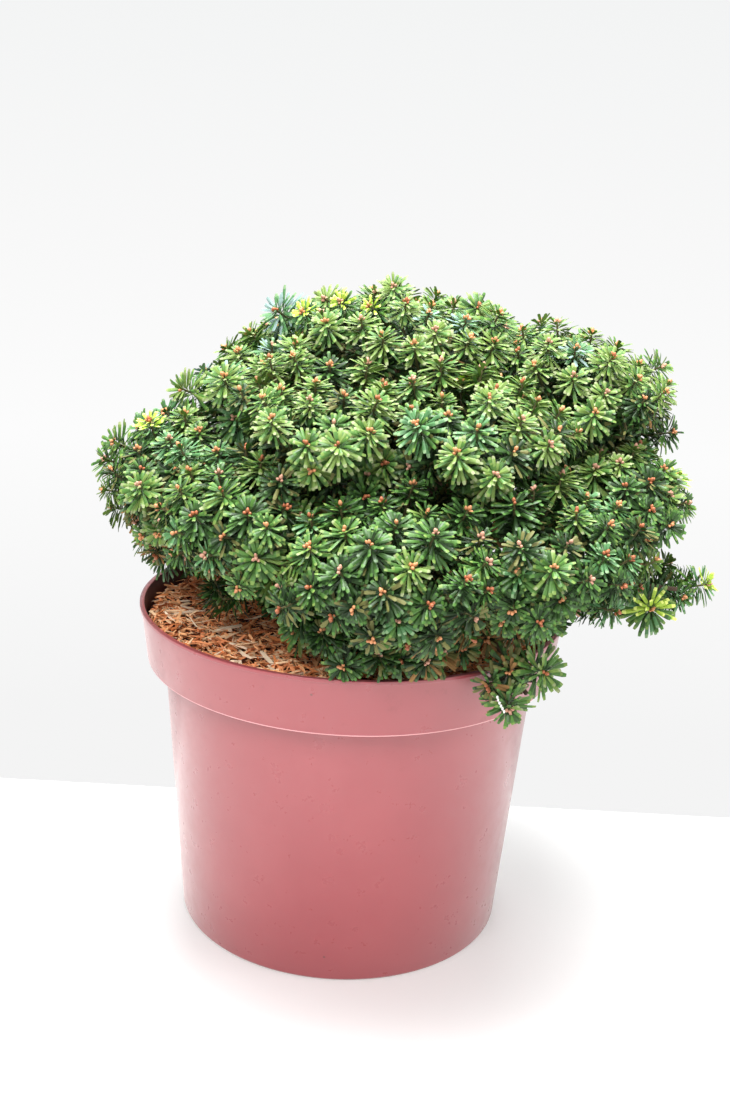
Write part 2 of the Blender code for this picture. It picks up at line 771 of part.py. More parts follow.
def keep_largest_skin(item):
    """Fill sealed hollows and drop loose scraps, and say whether one closed body is left."""
    shape = bmesh.new()
    shape.from_mesh(item.data)
    bmesh.ops.triangulate(shape, faces=shape.faces[:])
    skins = sorted(shells(shape), key=skin_volume)
    scraps = [face for skin in skins[:-1] for face in skin]
    bmesh.ops.delete(shape, geom=scraps, context="FACES")
    loose = [vertex for vertex in shape.verts if not vertex.link_faces]
    bmesh.ops.delete(shape, geom=loose, context="VERTS")
    closed = all(edge.is_manifold for edge in shape.edges)
    closed = closed and all(vertex.is_manifold for vertex in shape.verts)
    shape.to_mesh(item.data)
    shape.free()
    return closed


def fuse(name, shapes, material, solver):
    """Join shapes into one object by a Boolean union on a collection of all but the first."""
    item = add_object(name, shapes[0], material)
    pieces = bpy.data.collections.new(name + "_pieces")
    bpy.context.scene.collection.children.link(pieces)
    for shape in shapes[1:]:
        piece = add_object("piece", shape, material)
        bpy.context.scene.collection.objects.unlink(piece)
        pieces.objects.link(piece)
    join = item.modifiers.new("join", "BOOLEAN")
    join.operation = "UNION"
    join.solver = solver
    join.operand_type = "COLLECTION"
    join.collection = pieces
    apply_modifiers(item)
    for piece in list(pieces.objects):
        bpy.data.objects.remove(piece, do_unlink=True)
    bpy.data.collections.remove(pieces)
    item.data.materials.clear()
    item.data.materials.append(material)
    return item


def make_mass(mass, space, limb, limbs, material, seed):
    """One mass of foliage. It is grown again with sprays further apart if it doesn't close."""
    stem = plan_stem(mass, limb)
    item = None
    for spread, solver in ((1.0, "MANIFOLD"), (1.0, "EXACT"), (1.06, "MANIFOLD"), (1.12, "MANIFOLD")):
        if item is not None:
            bpy.data.objects.remove(item, do_unlink=True)
        shapes = [core_shape(mass, space)] if mass.dense else []
        shapes.append(stem_shape(stem, limb))
        sprays = grow_sprays(mass, space, stem, limbs, SPRAY_SPACING * spread, seed)
        shapes.extend(spray_shape(spray) for spray in sprays)
        item = fuse(mass.name, shapes, material, solver)
        if keep_largest_skin(item):
            break
    return item


def main():
    """Build every sub-part, from the pot up."""
    clear_scene()
    red_plastic = make_material("red_plastic", (0.30, 0.035, 0.045), 0.32)
    peat = make_material("peat", (0.05, 0.028, 0.018), 0.95)
    bark_chips = make_material("bark_chips", (0.24, 0.09, 0.04), 0.9)
    bark = make_material("bark", (0.13, 0.085, 0.06), 0.85)
    foliage = make_material("foliage", (0.045, 0.14, 0.045), 0.5)
    make_pot(red_plastic)
    make_root_ball(peat)
    make_mulch(bark_chips)
    add_object("trunk", trunk_shape(0.0), bark, 50)
    limbs = Limbs()
    heights = [SOIL_Z + rise for rise, radius in TRUNK_STEPS]
    limbs.add(np.array([trunk_axis(z) for z in heights]),
              np.array([radius for rise, radius in TRUNK_STEPS]))
    plans = []
    for mass in MASSES:
        space = Space(mass, [other for other in MASSES if other is not mass])
        topmost = mass.bough_height == 0.0
        limb = plan_top_stem() if topmost else plan_bough(mass)
        if not topmost:
            limbs.add(limb.points, limb.radii)
            make_bough(mass, limb, bark)
        plans.append((mass, space, limb))
    for number, (mass, space, limb) in enumerate(plans):
        make_mass(mass, space, limb, limbs, foliage, SEED + number)


main()
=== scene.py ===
"""Dwarf Korean fir in its nursery pot: the looks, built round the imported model.

Metres, +Z up, with the origin at the middle of the pot's flat underside and -Y towards the viewer.
Each shape is worked out with numpy as whole arrays. The crown is grown again by the rule of the
part's source: each mass of foliage keeps to its own space, and shoots are spread evenly over it. Here
the rule is carried on to forked twigs, buds and single needles.
"""

import logging
import math
import random
from dataclasses import dataclass, field, fields
from enum import Enum, IntEnum
from typing import ClassVar

import bpy
import numpy as np
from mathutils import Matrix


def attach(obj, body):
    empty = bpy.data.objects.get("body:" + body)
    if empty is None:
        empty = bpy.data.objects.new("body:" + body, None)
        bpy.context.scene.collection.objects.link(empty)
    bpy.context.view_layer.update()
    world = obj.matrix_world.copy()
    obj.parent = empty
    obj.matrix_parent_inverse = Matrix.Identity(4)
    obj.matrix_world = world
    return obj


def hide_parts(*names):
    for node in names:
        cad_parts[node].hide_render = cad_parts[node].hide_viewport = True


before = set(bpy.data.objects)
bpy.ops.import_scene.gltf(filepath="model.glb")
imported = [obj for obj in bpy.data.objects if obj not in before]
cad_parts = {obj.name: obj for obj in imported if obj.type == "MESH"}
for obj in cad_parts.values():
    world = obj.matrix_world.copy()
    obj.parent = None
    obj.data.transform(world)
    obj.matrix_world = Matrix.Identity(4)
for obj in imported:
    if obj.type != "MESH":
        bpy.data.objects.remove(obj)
log = logging.getLogger("potted_fir")

Array = np.ndarray
Socket = bpy.types.NodeSocket
SEED = 61
BODY = "root"
UP = np.array([0.0, 0.0, 1.0])
LEVEL = np.array([1.0, 1.0, 0.0])
GOLDEN_ANGLE = math.pi * (3.0 - math.sqrt(5.0))
MM = 0.001


def linear(colour: str) -> tuple[float, float, float, float]:
    """An sRGB hex colour as linear red, green and blue, with an alpha of one."""
    parts = [int(colour[i:i + 2], 16) / 255.0 for i in (1, 3, 5)]
    light = [p / 12.92 if p <= 0.04045 else ((p + 0.055) / 1.055) ** 2.4 for p in parts]
    return (*light, 1.0)


def unit(vectors: Array) -> Array:
    """Vectors, or one vector, at length one."""
    return vectors / np.linalg.norm(vectors, axis=-1, keepdims=True)


def mixed(low: Array | float, high: Array | float, share: Array | float) -> Array | float:
    """The value a share of the way from low to high."""
    return low + (high - low) * share


def bezier(start: Array, leave: Array, arrive: Array, end: Array, share: Array) -> Array:
    """Points at shares of a cubic Bezier curve."""
    t = np.asarray(share)[:, None]
    s = 1.0 - t
    return s ** 3 * start + 3 * s * s * t * leave + 3 * s * t * t * arrive + t ** 3 * end


def cross_axes(ways: Array) -> tuple[Array, Array]:
    """Two unit directions that lie across each given way and across each other."""
    upright = np.abs(ways[..., 2:3]) > 0.9
    guide = np.where(upright, np.array([1.0, 0.0, 0.0]), UP)
    first = unit(np.cross(guide, ways))
    return first, np.cross(ways, first)


def square_to(ways: Array, vectors: Array) -> Array:
    """The part of each vector that lies square to a unit way."""
    return vectors - ways * np.sum(vectors * ways, -1, keepdims=True)


def turned(first: Array, second: Array, angle: Array | float) -> Array:
    """The direction at an angle from one unit axis towards another that is square to it."""
    angle = np.asarray(angle)[..., None]
    return first * np.cos(angle) + second * np.sin(angle)


def feed(node: bpy.types.Node, feeds: dict) -> None:
    """Give a node its values and links.

    Args:
        node: The node.
        feeds: Values or output sockets by the name or number of an input, or by a property's name.
    """
    for key, value in feeds.items():
        if isinstance(value, Socket):
            node.id_data.links.new(value, node.inputs[key])
        elif isinstance(key, int) or key in node.inputs:
            node.inputs[key].default_value = value
        else:
            setattr(node, key, value)


def add_node(tree: bpy.types.NodeTree, kind: str, feeds: dict | None = None) -> bpy.types.Node:
    """Add a shader node with its values and links."""
    node = tree.nodes.new(kind)
    feed(node, feeds or {})
    return node


def new_material(name: str) -> tuple[bpy.types.Material, bpy.types.Node]:
    """Make a material with one Principled shader, and give both."""
    material = bpy.data.materials.new(name)
    material.use_nodes = True
    return material, material.node_tree.nodes["Principled BSDF"]


def noise(place: Socket, size_mm: float, detail: float = 2.0, roughness: float = 0.5) -> Socket:
    """Cloudy noise whose largest features are about a size."""
    feeds = {"Scale": 1.0 / (size_mm * MM), "Detail": detail, "Roughness": roughness, "Vector": place}
    return add_node(place.id_data, "ShaderNodeTexNoise", feeds).outputs["Fac"]


def cells(place: Socket, size_mm: float) -> Socket:
    """The distance to the nearest of many spots that lie about a size apart."""
    feeds = {"Scale": 1.0 / (size_mm * MM), "Vector": place}
    return add_node(place.id_data, "ShaderNodeTexVoronoi", feeds).outputs["Distance"]


def spread(value: Socket, span: tuple[float, float], least: float = 0.0,
           most: Socket | float = 1.0) -> Socket:
    """A value stretched so that the ends of its span become least and most, and held between them."""
    feeds = {"From Min": span[0], "From Max": span[1], "To Min": least, "To Max": most, "Value": value}
    return add_node(value.id_data, "ShaderNodeMapRange", feeds).outputs["Result"]


def blend(share: Socket, low: Socket | str, high: Socket | str) -> Socket:
    """The colour a share of the way from low to high."""
    first, second = (linear(colour) if isinstance(colour, str) else colour for colour in (low, high))
    feeds = {"data_type": "RGBA", 0: share, 6: first, 7: second}
    return add_node(share.id_data, "ShaderNodeMix", feeds).outputs[2]


def relief(height: Socket, strength: float, depth_mm: float) -> Socket:
    """The normal of a bumpy skin."""
    feeds = {"Strength": strength, "Distance": depth_mm * MM, "Height": height}
    return add_node(height.id_data, "ShaderNodeBump", feeds).outputs["Normal"]


def put(item: bpy.types.Object, axes: tuple[Array, Array, Array], place: tuple) -> None:
    """Give an object its three axes and its place, and link it to the scene."""
    pose = np.eye(4)
    pose[:3, :3] = np.stack(axes, 1)
    pose[:3, 3] = place
    item.matrix_world = pose.T
    bpy.context.scene.collection.objects.link(item)


@dataclass
class Surface:
    """Triangles as whole arrays: points, the corners of each face, and each face's finish number."""

    points: Array
    faces: Array
    slots: Array | None = None

    def piece(self, name: str, materials: list, smooth_degrees: float | None = None,
              corner_uv: Array | None = None) -> bpy.types.Object:
        """Put the arrays into a mesh object at the origin.

        Args:
            name: The piece's name.
            materials: Its materials, in the order of the finish numbers.
            smooth_degrees: The sharpest bend that is shaded smooth, or None for flat faces.
            corner_uv: A pair of map coordinates for each corner of each face.

        Returns:
            The object, linked to the scene.
        """
        mesh = bpy.data.meshes.new(name)
        mesh.vertices.add(len(self.points))
        mesh.vertices.foreach_set("co", np.ascontiguousarray(self.points, np.float32).ravel())
        mesh.loops.add(3 * len(self.faces))
        mesh.loops.foreach_set("vertex_index", np.ascontiguousarray(self.faces, np.int32).ravel())
        mesh.polygons.add(len(self.faces))
        mesh.polygons.foreach_set("loop_start", np.arange(0, 3 * len(self.faces), 3, dtype=np.int32))
        if self.slots is not None:
            mesh.polygons.foreach_set("material_index", self.slots.astype(np.int32))
        mesh.update(calc_edges=True)
        if corner_uv is not None:
            layer = mesh.uv_layers.new(name="along")
            layer.data.foreach_set("uv", np.ascontiguousarray(corner_uv, np.float32).ravel())
        for material in materials:
            mesh.materials.append(material)
        if smooth_degrees is not None:
            mesh.shade_smooth()
            mesh.set_sharp_from_angle(angle=math.radians(smooth_degrees))
        item = bpy.data.objects.new(name, mesh)
        bpy.context.scene.collection.objects.link(item)
        return item


def joined(surfaces: list[Surface]) -> Surface:
    """Join surfaces into one, each with its own finish numbers."""
    starts = np.cumsum([0] + [len(surface.points) for surface in surfaces[:-1]])
    points = np.vstack([surface.points for surface in surfaces])
    faces = np.vstack([surface.faces + start for surface, start in zip(surfaces, starts)])
    slots = np.concatenate([surface.slots for surface in surfaces])
    return Surface(points, faces, slots)


def repeated(template: Array, count: int, size: int) -> Array:
    """The faces of one small shape of a number of points, numbered on for each of its copies."""
    return (template[None, :, :] + size * np.arange(count)[:, None, None]).reshape(-1, 3)


def grid_faces(rows: int, columns: int, closed: bool) -> Array:
    """Faces over a grid of points: each cell is two triangles.

    Args:
        rows: How many rows of points there are.
        columns: How many points a row has.
        closed: Whether each row's last point joins on to its first.

    Returns:
        The corners of each triangle, for rows that run upwards and columns that run to the left
        about the axis, seen from above.
    """
    i = np.arange(rows - 1)[:, None]
    j = np.arange(columns if closed else columns - 1)[None, :]
    k = (j + 1) % columns
    a, b, c, d = i * columns + j, i * columns + k, (i + 1) * columns + k, (i + 1) * columns + j
    return np.stack([np.stack([a, b, c], -1), np.stack([a, c, d], -1)], 2).reshape(-1, 3)


def capped_faces(rows: int, columns: int) -> Array:
    """Faces over closed rows of points, closed by one point before them and one after them."""
    j = np.arange(columns)
    k = (j + 1) % columns
    last = 1 + columns * (rows - 1)
    foot = np.stack([0 * j, 1 + k, 1 + j], -1)
    head = np.stack([0 * j + last + columns, last + j, last + k], -1)
    return np.vstack([grid_faces(rows, columns, True) + 1, foot, head])


def tube_template(rings: int, sides: int) -> Array:
    """The faces of a closed tube: its wall, and a fan over each end."""
    wall = grid_faces(rings, sides, True)
    k = np.arange(1, sides - 1)
    start = np.stack([np.zeros_like(k), k + 1, k], -1)
    end = np.stack([np.zeros_like(k), k, k + 1], -1) + (rings - 1) * sides
    return np.vstack([wall, start, end])


def circles(paths: Array, sides: int) -> Array:
    """Unit circles round the points of many paths and square to them.

    Each point is across cos a + over sin a, where across and over lie square to the path.

    Args:
        paths: Points along each path, as (paths, rings, 3).
        sides: How many points a circle has.

    Returns:
        The circles' points about their middles, as (paths, rings, sides, 3).
    """
    along = unit(np.gradient(paths, axis=1))
    first, _ = cross_axes(along[:, :1])
    across = unit(square_to(along, first))
    over = np.cross(along, across)
    return turned(across[:, :, None], over[:, :, None], np.arange(sides) * math.tau / sides)


def tubes(paths: Array, radii: Array, sides: int, slots: Array) -> Surface:
    """Closed tubes along many paths at once.

    Args:
        paths: Points along each path, as (tubes, rings, 3).
        radii: The radius at each of those points.
        sides: How many points a ring has.
        slots: One finish number for each tube.

    Returns:
        All the tubes as one surface.
    """
    count, rings = radii.shape
    points = paths[:, :, None] + radii[:, :, None, None] * circles(paths, sides)
    template = tube_template(rings, sides)
    faces = repeated(template, count, rings * sides)
    return Surface(points.reshape(-1, 3), faces, np.repeat(slots, len(template)))


def tapering(paths: list[Array], radii: tuple[float, float], sides: int, slot: int) -> Surface:
    """Tubes of one finish along paths, with a radius that runs evenly from the first to the last."""
    share = np.linspace(0.0, 1.0, len(paths[0]))
    return tubes(np.array(paths), np.tile(mixed(*radii, share), (len(paths), 1)), sides,
                 np.full(len(paths), slot))


@dataclass(frozen=True)
class PlainFinish:
    """A finish of one even colour, for small pieces that are many: the colours are dealt out by spray."""

    name: str
    colour: str
    roughness: float
    specular: float = 0.5

    def material(self) -> bpy.types.Material:
        """Make the material."""
        material, shader = new_material(self.name)
        feed(shader, {"Base Color": linear(self.colour), "Roughness": self.roughness,
                      "Specular IOR Level": self.specular})
        return material


@dataclass(frozen=True)
class MouldedPolypropylene:
    """Injection-moulded red polypropylene: soft gloss, a hazy film, scuffs and specks of soil."""

    name: str = "moulded_polypropylene_wine_red"
    colour: str = "#92393f"
    worn_colour: str = "#984045"
    scuff_colour: str = "#7c2e35"
    soil_colour: str = "#552824"
    roughness: float = 0.3
    haze: float = 0.38
    haze_colour: str = "#f6e4e2"
    haze_roughness: float = 0.45
    gloss_coat: float = 0.6
    coat_roughness: float = 0.22
    refraction: float = 1.49
    blotch_mm: float = 70.0
    blotch_span: tuple[float, float] = (0.4, 0.7)
    scuff_mm: float = 10.0
    scuff_span: tuple[float, float] = (0.6, 0.74)
    scuffed_heights: tuple[float, float] = (0.125, 0.165)
    scuff_share: float = 0.5
    dull_span: tuple[float, float] = (0.3, 0.8)
    dull_change: tuple[float, float] = (-0.05, 0.14)
    speck_mm: float = 9.0
    speck_patch_mm: float = 30.0
    speck_span: tuple[float, float] = (0.55, 0.75)
    speck_size: float = 0.11
    speck_share: float = 0.8
    peel_mm: float = 1.4
    peel_depth_mm: float = 0.012

    def material(self) -> bpy.types.Material:
        """Make the material: blotches, scuffs and specks in the colour, and a fine bump."""
        material, shader = new_material(self.name)
        tree = material.node_tree
        place = add_node(tree, "ShaderNodeTexCoord").outputs["Object"]
        height = add_node(tree, "ShaderNodeSeparateXYZ", {"Vector": place}).outputs["Z"]
        worn = spread(noise(place, self.blotch_mm, 3.0), self.blotch_span)
        rubs = noise(place, self.scuff_mm, 5.0, 0.65)
        most = spread(height, self.scuffed_heights, 0.0, self.scuff_share)
        scuffed = blend(spread(rubs, self.scuff_span, 0.0, most),
                        blend(worn, self.colour, self.worn_colour), self.scuff_colour)
        size = spread(noise(place, self.speck_patch_mm), self.speck_span, 0.0, self.speck_size)
        speck = add_node(tree, "ShaderNodeMath",
                         {"operation": "LESS_THAN", 0: cells(place, self.speck_mm), 1: size})
        fleck = add_node(tree, "ShaderNodeMath",
                         {"operation": "MULTIPLY", 0: speck.outputs["Value"], 1: self.speck_share})
        low, high = self.dull_change
        feed(shader, {
            "Base Color": blend(fleck.outputs["Value"], scuffed, self.soil_colour),
            "Roughness": spread(rubs, self.dull_span, self.roughness + low, self.roughness + high),
            "Normal": relief(noise(place, self.peel_mm), 0.5, self.peel_depth_mm),
            "IOR": self.refraction,
            "Coat Weight": self.gloss_coat,
            "Coat Roughness": self.coat_roughness,
            "Sheen Weight": self.haze,
            "Sheen Roughness": self.haze_roughness,
            "Sheen Tint": linear(self.haze_colour),
        })
        return material


@dataclass(frozen=True)
class PeatMix:
    """Damp peat with bark fines: dark, matt and crumbly, with paler fibres."""

    name: str = "damp_peat_and_fines"
    colour: str = "#2e1a12"
    crumb_colour: str = "#9c5230"
    roughness: float = 0.92
    crumb_mm: float = 2.6
    crumb_span: tuple[float, float] = (0.45, 0.75)
    crumb_depth_mm: float = 0.9

    def material(self) -> bpy.types.Material:
        """Make the material: crumbs in the colour and in the bump."""
        material, shader = new_material(self.name)
        place = add_node(material.node_tree, "ShaderNodeTexCoord").outputs["Object"]
        share = spread(noise(place, self.crumb_mm, 6.0), self.crumb_span)
        feed(shader, {"Base Color": blend(share, self.colour, self.crumb_colour),
                      "Roughness": self.roughness, "Specular IOR Level": 0.25,
                      "Normal": relief(cells(place, self.crumb_mm), 0.9, self.crumb_depth_mm)})
        return material


@dataclass(frozen=True)
class YoungFirBark:
    """Thin bark of a young fir: grey-brown, with lengthwise cracks that show russet."""

    name: str = "young_fir_bark"
    colour: str = "#7a6353"
    crack_colour: str = "#4a2f22"
    lichen_colour: str = "#958877"
    roughness: float = 0.85
    crack_mm: float = 2.2
    crack_span: tuple[float, float] = (0.38, 0.6)
    crack_depth_mm: float = 0.35
    lichen_mm: float = 12.0
    lichen_span: tuple[float, float] = (0.52, 0.7)

    def material(self) -> bpy.types.Material:
        """Make the material. Its map runs round the limb and along it, in metres."""
        material, shader = new_material(self.name)
        tree = material.node_tree
        along = add_node(tree, "ShaderNodeUVMap", {"uv_map": "along"}).outputs["UV"]
        drawn_out = add_node(tree, "ShaderNodeMapping", {"Scale": (1.0, 0.25, 1.0), "Vector": along})
        crack = noise(drawn_out.outputs["Vector"], self.crack_mm, 5.0, 0.6)
        pale = spread(noise(along, self.lichen_mm), self.lichen_span)
        skin = blend(pale, self.colour, self.lichen_colour)
        feed(shader, {"Base Color": blend(spread(crack, self.crack_span), self.crack_colour, skin),
                      "Roughness": self.roughness,
                      "Normal": relief(crack, 0.8, self.crack_depth_mm)})
        return material


@dataclass(frozen=True)
class Sweep:
    """A white table top that is lit hard, as a studio's is, so that it hardly takes a shadow."""

    name: str = "white_table"
    colour: str = "#d2d2d1"
    roughness: float = 0.6
    glow: float = 0.55

    def material(self) -> bpy.types.Material:
        """Make the material."""
        material, shader = new_material(self.name)
        feed(shader, {"Base Color": linear(self.colour), "Roughness": self.roughness,
                      "Emission Color": linear(self.colour), "Emission Strength": self.glow})
        return material


@dataclass(frozen=True)
class Viewpoint:
    """The camera, where the photograph was taken from."""

    place: tuple[float, float, float] = (0.006, -0.8047, 0.4807)
    tilt_down: float = math.radians(17.15)
    roll: float = math.radians(2.87)
    lens_mm: float = 46.29
    sensor_mm: float = 36.0

    def build(self) -> None:
        """Make the camera and give it to the scene."""
        ahead = np.array([0.0, math.cos(self.tilt_down), -math.sin(self.tilt_down)])
        over = np.array([0.0, math.sin(self.tilt_down), math.cos(self.tilt_down)])
        side = np.array([1.0, 0.0, 0.0])
        across = math.cos(self.roll) * side + math.sin(self.roll) * over
        above = math.cos(self.roll) * over - math.sin(self.roll) * side
        lens = bpy.data.cameras.new("viewpoint")
        lens.lens = self.lens_mm
        lens.sensor_width = self.sensor_mm
        lens.clip_start = 0.01
        camera = bpy.data.objects.new("viewpoint", lens)
        put(camera, (across, above, -ahead), self.place)
        bpy.context.scene.camera = camera


@dataclass(frozen=True)
class Softbox:
    """One large square lamp that points at the crown."""

    name: str
    place: tuple[float, float, float]
    side: float
    watts: float

    def build(self, target: Array) -> None:
        """Make the lamp and turn it to the target."""
        lamp = bpy.data.lights.new(self.name, "AREA")
        lamp.shape = "SQUARE"
        lamp.size = self.side
        lamp.energy = self.watts
        back = unit(np.array(self.place) - target)
        put(bpy.data.objects.new(self.name, lamp), (*cross_axes(back), back), self.place)


@dataclass(frozen=True)
class Studio:
    """A white table under soft lamps, in a pale room that is only the world's colour.

    The room's colour changes with the height that one looks at: pale walls, and a dimmer ceiling
    beyond the lamps.
    """

    room: tuple[tuple[float, str], ...] = (
        (-0.4, "#f4f4f4"), (-0.22, "#fcfcfc"), (-0.08, "#f8f8f8"), (0.08, "#f3f4f4"),
        (0.2, "#c8c9ca"), (0.5, "#9d9ea0"), (1.0, "#9d9ea0"))
    target: tuple[float, float, float] = (0.02, 0.0, 0.25)
    table_width: float = 2.4
    table_front: float = -1.2
    table_back_left: float = 0.142
    table_back_right: float = 0.118
    table_thickness: float = 0.02
    table_drop: float = 0.0002
    lamps: tuple[Softbox, ...] = (
        Softbox("softbox_front_left", (-0.38, -1.1, 1.35), 0.8, 27.0),
        Softbox("softbox_above", (0.0, 0.05, 1.6), 0.9, 61.0),
        Softbox("softbox_right", (1.15, -0.45, 0.85), 0.7, 6.0),
        Softbox("softbox_behind", (-0.1, 1.05, 1.15), 0.8, 6.0),
    )

    def build(self) -> None:
        """Make the world, the lamps and the table top."""
        scene = bpy.context.scene
        scene.view_settings.view_transform = "Standard"
        scene.world = self.world()
        for lamp in self.lamps:
            lamp.build(np.array(self.target))
        half = self.table_width / 2
        outline = np.array([[-half, self.table_front], [half, self.table_front],
                            [half, self.table_back_right], [-half, self.table_back_left]])
        top = np.column_stack([outline, np.full(4, -self.table_drop)])
        foot = top - self.table_thickness * UP
        faces = np.array([[0, 1, 2], [0, 2, 3], [4, 6, 5], [4, 7, 6]])
        sides = grid_faces(2, 4, True) % 8
        points = np.vstack([foot, top])
        table = Surface(points, np.vstack([(faces + 4) % 8, sides]))
        table.piece("table_top", [Sweep().material()])

    def world(self) -> bpy.types.World:
        """Make the room's colour, as a ramp over the upright part of the direction."""
        world = bpy.data.worlds.new("pale_room")
        world.use_nodes = True
        tree = world.node_tree
        way = add_node(tree, "ShaderNodeTexCoord").outputs["Generated"]
        rise = add_node(tree, "ShaderNodeSeparateXYZ", {"Vector": way}).outputs["Z"]
        ramp = add_node(tree, "ShaderNodeValToRGB", {"Fac": spread(rise, (-1.0, 1.0))})
        stops = ramp.color_ramp.elements
        for number, (rise, colour) in enumerate(self.room):
            place = (rise + 1.0) / 2.0
            stop = stops[number] if number < 2 else stops.new(place)
            stop.position = place
            stop.color = linear(colour)
        feed(tree.nodes["Background"], {"Color": ramp.outputs["Color"]})
        return world


@dataclass
class Pot:
    """The nursery pot: a tapering body under a wider collar, with a thin lip, turned round the axis."""

    height: float = 0.1987
    rim_radius: float = 0.1272
    lip_depth: float = 0.0022
    lip_stand: float = 0.0008
    collar_foot_z: float = 0.1649
    collar_foot_radius: float = 0.1223
    body_top_radius: float = 0.112
    body_foot_radius: float = 0.0992
    wall: float = 0.002
    floor: float = 0.005
    hub_radius: float = 0.03
    standing_ring_radius: float = 0.084
    recess: float = 0.003
    drain_count: int = 8
    drain_radius: float = 0.005
    drain_circle: float = 0.058
    fillet: float = 0.0009
    lip_fillet: float = 0.0004
    ledge_fillet: float = 0.0007
    floor_fillet: float = 0.0006
    foot_fillet: float = 0.0016
    inner_foot_fillet: float = 0.002
    lip_light: float = 0.0013
    lip_light_fillet: float = 0.0001
    lip_face_depth: float = 0.0012
    # How far the painted highlight round the collar's foot fillet reaches, as a share of the fillet
    rubbed_share: float = 0.6
    smooth_degrees: float = 32
    corner_points: int = 5
    sides: int = 168
    drain_sides: int = 28

    def body_radius(self, z: float) -> float:
        """The body's outer radius at a height."""
        return mixed(self.body_foot_radius, self.body_top_radius, z / self.collar_foot_z)

    def collar_radius(self, z: float) -> float:
        """The collar's outer radius at a height, below its lip."""
        rise = (z - self.collar_foot_z) / (self.height - self.collar_foot_z)
        return mixed(self.collar_foot_radius, self.rim_radius - self.lip_stand, rise)

    def inner_radius(self, z: float) -> float:
        """The collar's inner radius at a height."""
        return self.collar_radius(z) - self.wall

    def corners(self) -> list[tuple[float, float, float]]:
        """The section's corners as (radius, z, fillet), out under the floor, up and back inside."""
        lip_z = self.height - self.lip_depth
        ledge_z = self.collar_foot_z + self.wall
        slope = self.recess / 2
        return [
            (self.hub_radius, 0.0, self.lip_fillet),
            (self.hub_radius + slope, self.recess, self.floor_fillet),
            (self.standing_ring_radius - slope, self.recess, self.floor_fillet),
            (self.standing_ring_radius, 0.0, self.floor_fillet),
            (self.body_foot_radius, 0.0, self.foot_fillet),
            (self.body_top_radius, self.collar_foot_z, self.ledge_fillet),
            (self.collar_foot_radius, self.collar_foot_z, self.fillet),
            (self.collar_radius(lip_z), lip_z, self.lip_fillet),
            (self.rim_radius, lip_z, self.lip_fillet),
            (self.rim_radius, self.height, self.lip_fillet),
            (self.rim_radius - self.lip_light, self.height, self.lip_light_fillet),
            (self.inner_radius(self.height), self.height, self.lip_fillet),
            (self.inner_radius(ledge_z), ledge_z, self.fillet),
            (self.body_top_radius - self.wall, ledge_z, self.floor_fillet),
            (self.body_radius(self.floor) - self.wall, self.floor, self.inner_foot_fillet),
        ]

    def section(self) -> Array:
        """The rounded section as (radius, z), from the axis back to the axis.

        A rounded corner follows a quadratic Bezier curve, from a fillet's length before the corner to
        a fillet's length after it.
        """
        corners = np.array(self.corners())
        spots = np.vstack([[0.0, 0.0], corners[:, :2], [0.0, self.floor]])
        share = np.linspace(0.0, 1.0, self.corner_points)[:, None]
        points = [spots[:1]]
        for before, corner, after, size in zip(spots, spots[1:], spots[2:], corners[:, 2]):
            start = corner + unit(before - corner) * size
            end = corner + unit(after - corner) * size
            points.append((1 - share) ** 2 * start + 2 * share * (1 - share) * corner
                          + share ** 2 * end)
        return np.vstack(points + [spots[-1:]])

    def build(self) -> bpy.types.Object:
        """Turn the section round the axis and drill the drain holes."""
        section = self.section()
        angle = np.arange(self.sides) * math.tau / self.sides
        radius, z = section[1:-1, :1], section[1:-1, 1:]
        rings = np.stack([radius * np.cos(angle), radius * np.sin(angle), z + 0.0 * angle], -1)
        points = np.vstack([[0.0, 0.0, 0.0], rings.reshape(-1, 3), [0.0, 0.0, self.floor]])
        faces = capped_faces(len(rings), self.sides)
        finishes = (MouldedPolypropylene(),
                    MouldedPolypropylene("moulded_polypropylene_lip", "#a84a4c", "#b25856", "#8e3a3d",
                                         haze=0.05, gloss_coat=0.0),
                    # The inside wall's finish: painted shade, darker than the body, inside the pot above
                    # the mulch
                    MouldedPolypropylene("moulded_polypropylene_painted_shade", "#572620", "#6c342b", "#3c1b16",
                                         roughness=0.55, haze=0.0, gloss_coat=0.0),
                    # A painted highlight: a pale finish along the collar's foot fillet
                    PlainFinish("polypropylene_painted_highlight_edge", "#d79c9f", 0.4))
        shell = Surface(points, faces).piece("pot_shell", [finish.material() for finish in finishes])
        self.drill(shell)
        self.share_finishes(shell.data)
        shell.data.shade_smooth()
        shell.data.set_sharp_from_angle(angle=math.radians(self.smooth_degrees))
        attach(shell, BODY)
        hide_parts("pot")
        return shell

    def share_finishes(self, mesh: bpy.types.Mesh) -> None:
        """Give the lip its finish, the inside wall its painted shade and the collar's foot its painted
        highlight, by place.
        """
        centres = np.empty(3 * len(mesh.polygons), np.float32)
        mesh.polygons.foreach_get("center", centres)
        x, y, z = centres.reshape(-1, 3).T
        radius = np.hypot(x, y)
        high = z > self.height - self.lip_face_depth
        lip = high & (radius < self.rim_radius - self.lip_light)
        # The inside wall above the collar's foot is painted dark as shade
        inside = ~high & (z > self.collar_foot_z) & (radius < self.collar_radius(z) - self.wall / 2)
        # A thin band round the collar's foot fillet is painted pale as a highlight
        highlight_z = np.abs(z - self.collar_foot_z - self.fillet / 2) < self.rubbed_share * self.fillet
        edge = highlight_z & (radius > self.collar_foot_radius - self.fillet)
        finish = np.select([lip, inside, edge], [1, 2, 3], 0)
        mesh.polygons.foreach_set("material_index", finish.astype(np.int32))

